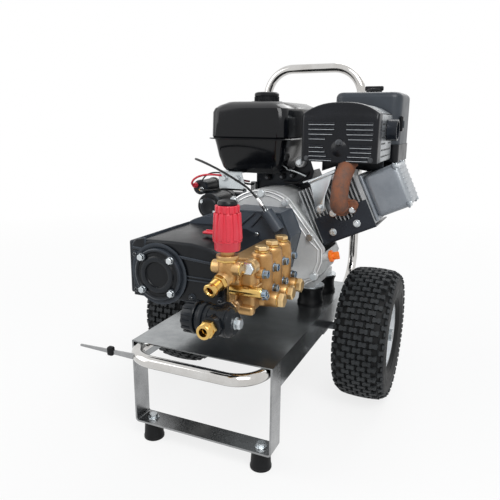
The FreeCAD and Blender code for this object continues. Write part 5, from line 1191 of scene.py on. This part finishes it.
@dataclass
class CylinderTop:
    """Satin grey rocker cover with a ribbed end, its screws, and the black sheet's bolts."""

    start: float = 262.4
    end: float = 350.0
    low: float = -62.0
    high: float = 48.0
    half: float = 62.0

    def cover(self) -> None:
        """The pressed cover, its flange, end ribs and four screws."""
        make = Maker("grey_rocker_cover")
        tilt = cylinder_frame()
        y0, y1 = CYLINDER_Y - self.half, CYLINDER_Y + self.half
        make.block((self.start, y0 + 0.6, self.low + 0.6), (self.start + 7, y1 - 0.6, self.high - 0.6), Stuff.grey_paint, 3, 3, tilt)
        make.block((self.start + 4, y0 + 5, self.low + 5), (self.end - 3, y1 - 5, self.high - 5), Stuff.grey_paint, 14, 7, tilt)
        make.block((self.end - 20, y0 + 7, self.low + 7), (self.end - 1.4, y1 - 7, self.high - 7), Stuff.cover_end, 11, 5, tilt)
        for row in range(7):
            t = self.low + 20 + row * 11.4
            make.block((self.end - 6, y0 + 16, t), (self.end, y1 - 16, t + 5.0), Stuff.cover_end, 1.6, 2, tilt)
        for y in (y0 + 10, y1 - 10):
            for t in (self.low + 11, self.high - 11):
                at = tilt @ Vector((self.end - 12.5, y, t))
                axis = (tilt.to_3x3() @ X).normalized()
                make.rod(at, axis, 8, 4.6, Stuff.grey_paint, 28, 1.2)
                make.hex_bolt(at + axis * 4.4, axis, 9, Stuff.zinc, 0)
        make.finish_piece("frame", ["valve_cover"], crease=34)

    def silencer_stay(self) -> None:
        """Bright plate between the head and the silencer, folded along its top and bolted below."""
        make = Maker("bright_silencer_stay")
        plate = [(120, 556), (176, 580), (168, 550), (159, 522), (157, 492), (151, 481), (141, 481), (136, 490), (132, 520)]
        make.slab(plate, 2.6, Stuff.zinc, flat_xz(313.4), 0.7, 2)
        fold = [(116, 553), (122, 548), (182, 575), (179, 583)]
        make.slab(fold, 9, Stuff.zinc, flat_xz(314.4), 3.0, 4)
        make.rod((148, 310.6, 492), -Y, 8.5, 1.4, Stuff.zinc, 28, 0.4)
        make.hex_bolt((148, 309.4, 492), -Y, 11, Stuff.zinc, 7)
        make.finish_piece("frame")

    def sheet_bolts(self) -> None:
        """Two bolts through the black sheet below the fins, with the sheet's folded lip."""
        make = Maker("cylinder_sheet_bolts")
        tilt = cylinder_frame()
        for s, t in ((163, -50), (222, -50)):
            make.hex_bolt(tilt @ Vector((s, 313.6, t)), -Y, 11, Stuff.zinc, 8.5)
        make.block((134, 312.6, -71.6), (258, 316, -67.6), Stuff.sheet_paint, 1.2, 2, tilt)
        make.finish_piece("frame")

    def dipstick(self) -> None:
        """Orange screw cap with its ear, on the grey neck."""
        axis = Vector((0.97, 0, 0.24)).normalized()
        end = Vector((146, 299, 377)) + axis * 34
        make = Maker("orange_dipstick_cap")
        make.lathe([(0, 0.3), (12.4, 0.3), (13.3, 1.2), (13.3, 7), (12.2, 8.2), (6, 8.4), (5, 12), (0, 12)], Stuff.orange, end, axis, 36)
        ear = Matrix.Translation(end) @ axis.to_track_quat("Z", "Y").to_matrix().to_4x4()
        make.block((-2.6, -9, 8), (2.6, 9, 23.4), Stuff.orange, 2.2, 4, ear)
        make.rod(end - axis * 44, axis, 3, 46, Stuff.orange, 16, 0.6)
        for step in range(16):
            turn = ear @ Matrix.Rotation(TURN * step / 16, 4, "Z")
            make.block((12.6, -0.9, 1.4), (13.8, 0.9, 7), Stuff.orange, 0.5, 1, turn)
        make.finish_piece("dipstick", ["dipstick"])

    def build(self) -> None:
        """Make all pieces at the cylinder's end."""
        self.cover()
        self.silencer_stay()
        self.sheet_bolts()
        self.dipstick()


@dataclass
class EngineFront:
    """Raised rims and ribs of the engine cover and the gear housing."""

    cover_front: float = 290.0

    def outline(self, grow: float) -> list[tuple[float, float]]:
        """The engine cover's outline, round above and bulged to the right."""
        points = []
        for degrees in range(200, 53, -6):
            turn = math.radians(degrees)
            points.append((CRANK[0] + (113 + grow) * math.cos(turn), CRANK[1] + (113 + grow) * math.sin(turn)))
        points += [(141 + grow, 431 + grow), (164 + grow, 400), (164 + grow, 372), (150 + grow, 330), (118 + grow, 308 - grow)]
        return points

    def rims(self) -> None:
        """Double raised lines that follow the cover's edge, with bosses at its screws."""
        make = Maker("engine_cover_rims")
        make.pipe([(x, self.cover_front + 1.2, z) for x, z in self.outline(-2.2)], 2.8, Stuff.machined, False, 2)
        make.pipe([(x, self.cover_front + 0.6, z) for x, z in self.outline(-11)], 1.9, Stuff.machined, False, 2)
        make.pipe([(x, self.cover_front + 18.2, z) for x, z in self.outline(-0.6)], 1.6, Stuff.cast_alloy, False, 2)
        for x, z in ((12, 522), (72, 504), (134, 428), (146, 336), (-60, 500)):
            make.lathe([(4.3, 0), (10.5, 0), (9.2, -3.4), (4.3, -3.4)], Stuff.cast_alloy, (x, self.cover_front + 1, z), Y, 30,
                       closed=True)
            make.rod((x, self.cover_front - 8.2, z), Y, 8.4, 1.5, Stuff.zinc, 28, 0.4, hole=4.2)
        make.finish_piece("frame")

    def gear_ribs(self) -> None:
        """Diagonal ribs, edge flange and small screws of the black gear housing."""
        make = Maker("gear_housing_ribs")
        front = 216.0
        for x, z, length, tilt in ((-8, 456, 48, 42), (20, 456, 38, 50), (-4, 432, 36, -43), (-30, 470, 24, 42)):
            turn = flat_xz(front) @ Matrix.Translation((x, z, 0)) @ Matrix.Rotation(math.radians(tilt), 4, "Z")
            make.block((0, -2.2, -2), (length, 2.2, 3.6), Stuff.cast_paint, 1.6, 2, turn)
        roof = [(-34, 486), (88, 486), (88, 491.6), (-34, 491.6)]
        make.slab(roof, 73, Stuff.cast_paint, flat_xz(289.2), 1.6, 2)
        edge = [(-34, 489.6), (88, 489.6), (110.6, 440), (91, 354)]
        make.pipe([(x, front + 1.4, z) for x, z in edge], 2.4, Stuff.cast_paint, False, 2)
        make.pipe([(x, 287.0, z) for x, z in edge], 2.8, Stuff.cast_paint, False, 2)
        for x, z in ((-22, 480), (33, 440), (80, 478), (100, 438), (90, 396)):
            make.rod((x, front - 1.4, z), Y, 6.8, 2.2, Stuff.cast_paint, 24, 0.6)
            make.cap_screw((x, front - 1.2, z), -Y, 4.4, 3.6, Stuff.zinc)
        make.finish_piece("frame")

    def governor(self) -> None:
        """Dark linkage plate under the tank, with its bolts and rod, and the shield under the silencer."""
        make = Maker("governor_plate_and_shield")
        plate = [(-34, 520), (96, 540), (104, 566), (92, 598), (64, 598), (52, 572), (-34, 566)]
        make.slab(plate, 3, Stuff.cast_paint, flat_xz(402.0), 0.8, 2)
        shield = [(112, 566), (150, 580), (262, 566), (262, 598), (112, 598)]
        make.slab(shield, 3, Stuff.cast_paint, flat_xz(440.0), 0.8, 2)
        make.lathe([(0, 0), (13, 0), (13, 16), (11, 18), (0, 18)], Stuff.cast_alloy, (72, 399, 590), -Y, 36)
        make.hex_bolt((72, 381, 590), -Y, 13, Stuff.zinc, 8)
        for x, z in ((-14, 548), (24, 552), (50, 556)):
            make.lathe([(0, 0), (8, 0), (8, 9), (6.6, 10.4), (0, 10.4)], Stuff.black_plastic, (x, 399, z), -Y, 28)
            make.hex_bolt((x, 388.6, z), -Y, 8, Stuff.dark_steel, 5)
        make.pipe([(-30, 390, 566), (10, 386, 574), (56, 384, 570), (88, 386, 556)], 2.2, Stuff.zinc)
        make.pipe([(30, 392, 540), (60, 384, 536), (84, 386, 548), (92, 396, 566)], 3.0, Stuff.cable)
        make.finish_piece("frame")

    def build(self) -> None:
        """Make all pieces at the engine's front."""
        self.rims()
        self.governor()
        self.gear_ribs()


@dataclass
class Starter:
    """Electric starter and solenoid with terminals, nuts, clips and wires."""

    x: float = -146.0
    z: float = 474.0
    solenoid: tuple[float, float] = (-178.0, 520.0)

    def bodies(self) -> None:
        """Stepped end plates on the motor and the solenoid, with long screws and the clamp."""
        make = Maker("starter_bodies")
        make.lathe([(0, 316), (10, 316), (11, 315.6), (22, 316.4), (24, 318), (25, 320.4), (31, 321), (33, 323.6), (33, 333), (31.6, 334),
                    (31.6, 408), (33, 409), (33, 428), (31, 430), (0, 430)], Stuff.cast_paint, (self.x, 0, self.z), Y, 52)
        make.lathe([(0, 330), (15, 330), (18, 331.4), (19, 334), (19, 343), (17.6, 344), (17.6, 404), (19, 405), (19, 412), (17.6, 414),
                    (0, 414)], Stuff.cast_paint, (self.solenoid[0], 0, self.solenoid[1]), Y, 44)
        make.block((-180, 360, 488), (-150, 400, 512), Stuff.cast_paint, 4, 3)
        make.block((-150, 424.8, 446), (-106, 430.8, 496), Stuff.cast_paint, 2, 2)
        for dx, dz in ((-18, 12), (18, -12)):
            make.hex_bolt((self.x + dx, 319.6, self.z + dz), -Y, 8, Stuff.zinc, 6)
        make.finish_piece("frame", ["starter_motor"])

    def terminals(self) -> None:
        """Copper studs with nuts, one under a red boot, and the earth strap's washer."""
        make = Maker("solenoid_terminals")
        for dx, dz, boot in ((-8, 6, True), (8, -4, False)):
            at = (self.solenoid[0] + dx, 330, self.solenoid[1] + dz)
            make.rod(at, -Y, 6.4, 2, Stuff.black_plastic, 24, 0.5)
            make.rod(at, -Y, 2.8, 12, Stuff.turned_brass, 16, 0.5)
            if boot:
                make.lathe([(0, 3), (6.4, 3), (7, 4), (6.2, 12), (4.4, 15), (0, 15.4)], Stuff.red_plastic, at, -Y, 28)
            else:
                make.rod((at[0], 328, at[2]), -Y, 5.8, 1, Stuff.zinc, 24, 0.3)
                make.hexagon((at[0], 327, at[2]), -Y, 9, 4.6, Stuff.zinc, 0.3, 0.7)
        make.finish_piece("frame")

    def wires(self) -> None:
        """Leads from the solenoid back into the engine's side, clipped to the crankcase."""
        make = Maker("starter_leads")
        sx, sz = self.solenoid
        make.pipe([(sx - 8, 316, sz + 6), (sx - 10, 304, sz + 10), (sx + 4, 300, sz + 28), (-150, 318, 556), (-120, 346, 552),
                   (-96, 380, 540), (-84, 432, 530)], 2.6, Stuff.red_plastic)
        make.pipe([(sx + 8, 322, sz - 4), (sx + 14, 310, sz - 2), (-140, 308, 516), (-118, 322, 520), (-104, 360, 516), (-96, 432, 506)],
                  2.6, Stuff.cable)
        make.pipe([(sx + 6, 334, sz + 17), (-166, 340, 552), (-140, 352, 560), (-110, 378, 548), (-88, 432, 522)], 1.8, Stuff.cable)
        make.rod((-96, 429.8, 506), -Y, 6, 1.2, Stuff.zinc, 24, 0.3)
        make.hexagon((-96, 428.8, 506), -Y, 9, 4, Stuff.zinc, 0.1, 0.6)
        make.finish_piece("frame")

    def build(self) -> None:
        """Make all pieces of the starter."""
        self.bodies()
        self.terminals()
        self.wires()


@dataclass
class RearSide:
    """Recoil starter's ribs and screws, the fan casing's rim and the spark plug's boot."""

    face: float = 622.0

    def recoil(self) -> None:
        """Rings and vent hoods on the recoil housing, with its screws."""
        make = Maker("recoil_housing_trim")
        at = (CRANK[0], 0, CRANK[1])
        make.lathe([(18, 620), (26, 620), (26, 623.4), (24, 625), (19, 625), (18, 623.4)], Stuff.sheet_paint, at, Y, 48, closed=True)
        make.rod((CRANK[0], 620.6, CRANK[1]), Y, 18, 2, Stuff.cast_alloy, 40, 0.5)
        make.hex_bolt((CRANK[0], 622.4, CRANK[1]), Y, 13, Stuff.zinc, 10)
        make.lathe([(100.5, 562), (108.6, 562), (109.2, 564), (109.2, 567.4), (107.6, 569.4), (101, 569.6)], Stuff.sheet_paint, at, Y, 72,
                   closed=True)
        for step in range(4):
            turn = math.radians(45 + 90 * step)
            spot = (CRANK[0] + 103.6 * math.cos(turn), 569, CRANK[1] + 103.6 * math.sin(turn))
            make.hex_bolt(spot, Y, 8, Stuff.zinc, 6)
        make.finish_piece("frame")

    def handle(self) -> None:
        """Recoil grip shaped for two fingers."""
        axis = Vector((-0.8, 0, 0.6))
        start = Vector((CRANK[0], 560, CRANK[1])) + axis * (108 + 0.6)
        turn = Matrix.Translation(start) @ axis.to_track_quat("Z", "Y").to_matrix().to_4x4()
        low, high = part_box("recoil_handle")
        wide_y = (high.y - low.y) / MM > 30
        make = Maker("recoil_grip")
        size = (7.0, 22.0) if wide_y else (22.0, 7.0)
        local = Matrix.Translation(start) @ Matrix(((axis.z, 0, axis.x, 0), (0, 1, 0, 0), (-axis.x, 0, axis.z, 0), (0, 0, 0, 1)))
        log.info("recoil grip is wide along y: %s, turn %s", wide_y, turn.translation)
        make.block((-size[0], -size[1], 0), (size[0], size[1], 18), Stuff.black_plastic, 5, 4, local)
        make.rod(start - axis * 9, axis, 3, 10, Stuff.cable, 16, 0.4)
        make.finish_piece("recoil_handle", ["recoil_handle"])

    def spark_plug(self) -> None:
        """Black plug boot and its lead behind the cylinder head."""
        make = Maker("spark_plug_boot")
        tilt = cylinder_frame()
        at = tilt @ Vector((222, 445, 12))
        make.rod(at, Y, 8, 16, Stuff.zinc, 24, 1)
        make.lathe([(0, 10), (10, 10), (11, 12), (10, 30), (8, 42), (5, 46), (0, 46)], Stuff.black_plastic, at, Y, 32)
        top = at + Vector((0, 42, 0))
        make.pipe([top, top + Vector((0, 10, 6)), top + Vector((-40, 18, 24)), top + Vector((-90, 6, 12)), (100, 500, 470)], 3.4,
                  Stuff.cable)
        make.finish_piece("frame")

    def build(self) -> None:
        """Make all pieces at the rear."""
        self.recoil()
        self.handle()
        self.spark_plug()


@dataclass
class ThrottleCable:
    """Bowden cable from the actuator over the tank's bracket to the stop on the crankcase."""

    radius: float = 2.5
    length: float = 0.47
    route: tuple = ((51.46, 201.7, 506.10), (27.08, 201.7, 537.80), (-20, 207, 562), (-72, 220, 582), (-122, 242, 594),
                    (-160, 275, 597), (-172, 322, 590), (-160, 362, 574), (-128, 380, 552), (-92, 386, 534), (-72, 408, 525),
                    (-72, 431, 524))

    def build(self) -> None:
        curve = bpy.data.curves.new("throttle_cable_line", "CURVE")
        curve.dimensions = "3D"
        curve.bevel_depth = self.radius * MM
        curve.bevel_resolution = 5
        curve.resolution_u = 12
        curve.use_fill_caps = True
        spline = curve.splines.new("NURBS")
        spline.points.add(len(self.route) - 1)
        for point, target in zip(spline.points, self.route):
            point.co = (*place(target), 1)
        spline.order_u = 3
        spline.use_endpoint_u = True
        curve.materials.append(Stuff.cable.make())
        piece = bpy.data.objects.new("throttle_cable_line", curve)
        bpy.context.scene.collection.objects.link(piece)
        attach(piece, "frame")
        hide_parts("throttle_cable")
        log.info("throttle cable: %.3f m", self.length)

    def ends(self) -> None:
        """Ferrules at both ends of the cable and the actuator's lock nut."""
        make = Maker("cable_ferrules")
        first, second = Vector(self.route[0]), Vector(self.route[1])
        axis = (second - first).normalized()
        make.lathe([(2.55, 0), (4.4, 0), (4.6, 1), (4.6, 12), (3.2, 20), (2.55, 21)], Stuff.machined, first + axis * 0.5, axis, 28,
                   closed=True)
        actuator = Vector((60, 201.7, 495))
        make.lathe([(10.4, 0.4), (14.0, 0.4), (14.0, 3), (13.0, 4), (13.0, 43), (14.0, 44), (14.0, 47), (12, 49), (0, 49), (0, 0.4)],
                   Stuff.cast_paint, actuator, -axis, 36)
        make.hexagon(actuator - axis * -5.0, -axis, 11, 4.6, Stuff.zinc, 0.2, 0.6)
        make.rod(first, -axis, 4, 12, Stuff.zinc, 24, 0.6)
        make.finish_piece("frame")


# ---------------------------------------------------------------- camera, light and floor
@dataclass
class Studio:
    """Plain floor, soft lamps and the camera at its viewing angle."""

    eye: tuple[float, float, float] = (487.9, -847.2, 687.1)
    yaw: float = 0.418
    pitch: float = 0.241
    roll: float = 0.008
    lens: float = 37.95
    sensor: float = 36.0

    def camera(self) -> None:
        """Create the scene's camera from its yaw, pitch and roll."""
        look = Vector((-math.sin(self.yaw) * math.cos(self.pitch), math.cos(self.yaw) * math.cos(self.pitch),
                       -math.sin(self.pitch)))
        right = Vector((math.cos(self.yaw), math.sin(self.yaw), 0))
        up = right.cross(look)
        right, up = (right * math.cos(self.roll) + up * math.sin(self.roll),
                     up * math.cos(self.roll) - right * math.sin(self.roll))
        data = bpy.data.cameras.new("camera")
        data.lens = self.lens
        data.sensor_width = self.sensor
        data.clip_start = 0.01
        data.clip_end = 50.0
        camera = bpy.data.objects.new("camera", data)
        turn = Matrix((right, up, -look)).transposed().to_4x4()
        camera.matrix_world = Matrix.Translation(place(self.eye)) @ turn
        bpy.context.scene.collection.objects.link(camera)
        bpy.context.scene.camera = camera

    def lamp(self, name: str, at: Point, size: float, power: float) -> None:
        """One square soft lamp aimed at the middle of the machine."""
        data = bpy.data.lights.new(name, "AREA")
        data.shape = "SQUARE"
        data.size = size
        data.energy = power
        holder = bpy.data.objects.new(name, data)
        target = place((0, 300, 400))
        spot = Vector(at)
        holder.location = spot
        holder.rotation_mode = "QUATERNION"
        holder.rotation_quaternion = (target - spot).to_track_quat("-Z", "Y")
        bpy.context.scene.collection.objects.link(holder)

    def world(self) -> None:
        """A soft sky-like dome: white to the camera and in reflections near the top, dim on the object."""
        world = bpy.data.worlds.new("studio")
        bpy.context.scene.world = world
        world.use_nodes = True
        tree = world.node_tree
        background = tree.nodes["Background"]
        path = add(tree, "ShaderNodeLightPath")
        shown_rays = add(tree, "ShaderNodeMath", {"operation": "MAXIMUM"},
                         {0: path.outputs["Is Camera Ray"], 1: path.outputs["Is Transmission Ray"]})
        seen = add(tree, "ShaderNodeMath", {"operation": "MAXIMUM"},
                   {0: shown_rays.outputs[0], 1: path.outputs["Is Glossy Ray"]})
        coords = add(tree, "ShaderNodeTexCoord")
        split = add(tree, "ShaderNodeSeparateXYZ", None, {0: coords.outputs["Generated"]})
        height = add(tree, "ShaderNodeMapRange", {"From Min": -0.15, "From Max": 0.75}, {"Value": split.outputs["Z"]})
        sky = add(tree, "ShaderNodeMix", {"data_type": "RGBA", 6: linear("#8A8F96"), 7: linear("#F4F7FB")},
                  {0: height.outputs[0]})
        shown = add(tree, "ShaderNodeMix", {"data_type": "RGBA", 7: (1, 1, 1, 1)}, {0: seen.outputs[0], 6: sky.outputs[2]})
        tree.links.new(shown.outputs[2], background.inputs["Color"])
        power = add(tree, "ShaderNodeMapRange", {"To Min": 0.5, "To Max": 1.0}, {"Value": seen.outputs[0]})
        tree.links.new(power.outputs[0], background.inputs["Strength"])

    def floor(self) -> None:
        """A white floor that keeps the machine's soft shadow."""
        shape = bmesh.new()
        bmesh.ops.create_grid(shape, x_segments=1, y_segments=1, size=60.0)
        mesh = bpy.data.meshes.new("floor")
        shape.to_mesh(mesh)
        shape.free()
        holder = bpy.data.objects.new("floor", mesh)
        holder.location = (0, 0, -0.0005)
        material = bpy.data.materials.new("matt_white_studio_floor")
        material.use_nodes = True
        tree = material.node_tree
        shader = tree.nodes["Principled BSDF"]
        shader.inputs["Base Color"].default_value = linear("#E9E9E8")
        shader.inputs["Roughness"].default_value = 0.9
        path = add(tree, "ShaderNodeLightPath")
        glow = add(tree, "ShaderNodeEmission", {"Color": (1, 1, 1, 1), "Strength": 1.0})
        through = add(tree, "ShaderNodeMath", {"operation": "MAXIMUM"},
                      {0: path.outputs["Is Camera Ray"], 1: path.outputs["Is Transmission Ray"]})
        seen = add(tree, "ShaderNodeMath", {"operation": "MAXIMUM"}, {0: through.outputs[0], 1: path.outputs["Is Glossy Ray"]})
        coords = add(tree, "ShaderNodeTexCoord")
        away = add(tree, "ShaderNodeVectorMath", {"operation": "LENGTH"}, {0: coords.outputs["Object"]})
        glow_share = add(tree, "ShaderNodeMapRange", {"From Min": 0.5, "From Max": 3.0, "To Min": 0.8, "To Max": 1.0},
                         {"Value": away.outputs["Value"]})
        share = add(tree, "ShaderNodeMath", {"operation": "MULTIPLY"}, {0: seen.outputs[0], 1: glow_share.outputs[0]})
        mix = add(tree, "ShaderNodeMixShader", None, {0: share.outputs[0], 1: shader.outputs[0], 2: glow.outputs[0]})
        tree.links.new(mix.outputs[0], tree.nodes["Material Output"].inputs["Surface"])
        mesh.materials.append(material)
        bpy.context.scene.collection.objects.link(holder)

    def build(self) -> None:
        """Set up everything around the machine."""
        bpy.context.scene.view_settings.view_transform = "Standard"
        self.camera()
        self.lamp("key", (1.4, -1.7, 2.6), 1.6, 66)
        self.lamp("fill", (-2.4, -1.4, 1.7), 2.2, 30)
        self.lamp("back", (0.4, 2.6, 2.6), 2.0, 36)
        self.world()
        self.floor()


CAD_FINISH = {
    "deck": Stuff.sheet_steel, "foot_bracket": Stuff.bar_steel, "rubber_feet": Stuff.rubber, "front_tube": Stuff.tube,
    "handle_tube": Stuff.tube, "axle": Stuff.dark_steel, "lance_rest": Stuff.bar_steel, "zinc_bolts": Stuff.zinc,
    "engine_mounts": Stuff.rubber, "left_tyre": Stuff.tyre, "right_tyre": Stuff.tyre, "left_rim": Stuff.rim_paint,
    "right_rim": Stuff.rim_paint, "left_bearings": Stuff.machined, "right_bearings": Stuff.machined,
    "crankcase": Stuff.cast_alloy, "side_cover": Stuff.cast_alloy, "dipstick": Stuff.orange, "cylinder": Stuff.fin_alloy,
    "cylinder_head": Stuff.fin_alloy, "valve_cover": Stuff.grey_paint, "piston": Stuff.machined,
    "cylinder_shroud": Stuff.sheet_paint, "fan_housing": Stuff.sheet_paint, "recoil_housing": Stuff.sheet_paint,
    "recoil_handle": Stuff.black_plastic, "fuel_tank": Stuff.tank_enamel, "fuel_cap": Stuff.black_plastic,
    "fuel_gasket": Stuff.rubber, "muffler": Stuff.hot_steel, "muffler_guard": Stuff.sheet_paint,
    "exhaust_pipe": Stuff.rust, "cleaner_base": Stuff.black_plastic, "cleaner_cover": Stuff.lid_plastic,
    "cleaner_knob": Stuff.black_plastic, "carburettor": Stuff.machined, "throttle_lever": Stuff.zinc,
    "starter_motor": Stuff.cast_paint, "crankshaft": Stuff.dark_steel, "flywheel": Stuff.dark_steel,
    "pinion": Stuff.dark_steel, "drive_gear": Stuff.dark_steel, "gear_housing": Stuff.cast_paint,
    "pump_shaft": Stuff.dark_steel, "pump_crankcase": Stuff.cast_paint, "pump_covers": Stuff.cast_paint,
    "plungers": Stuff.ceramic, "pump_head": Stuff.forged_brass, "valve_caps": Stuff.forged_brass,
    "head_bolts": Stuff.blue_zinc, "unloader_body": Stuff.forged_brass, "brass_nipples": Stuff.turned_brass,
    "unloader_knob": Stuff.red_plastic, "filter_body": Stuff.filter_plastic, "filter_cap": Stuff.filter_plastic,
    "filter_screen": Stuff.machined, "inlet_fitting": Stuff.turned_brass, "oil_cap": Stuff.red_plastic,
    "throttle_actuator": Stuff.cast_paint, "throttle_cable": Stuff.cable,
}


def dress_cad_nodes() -> None:
    """Give every CAD node the finish of its real material."""
    for name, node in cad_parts.items():
        material = CAD_FINISH[name].make()
        if not node.data.materials:
            node.data.materials.append(material)
        for index in range(len(node.data.materials)):
            node.data.materials[index] = material


def main() -> None:
    """Build the studio, then every sub-assembly."""
    logging.basicConfig(level=logging.INFO, format="%(name)s: %(message)s")
    Studio().build()
    cable = ThrottleCable()
    cable.build()
    dress_cad_nodes()
    cable.ends()
    for part in (Wheel(-1), Wheel(1), Cart(), PumpHead(), PumpCase(), Unloader(), WaterFilter(), FuelTank(), SilencerGuard(),
                 AirCleaner(), CylinderTop(), EngineFront(), Starter(), RearSide()):
        part.build()


if __name__ == "__main__":
    main()
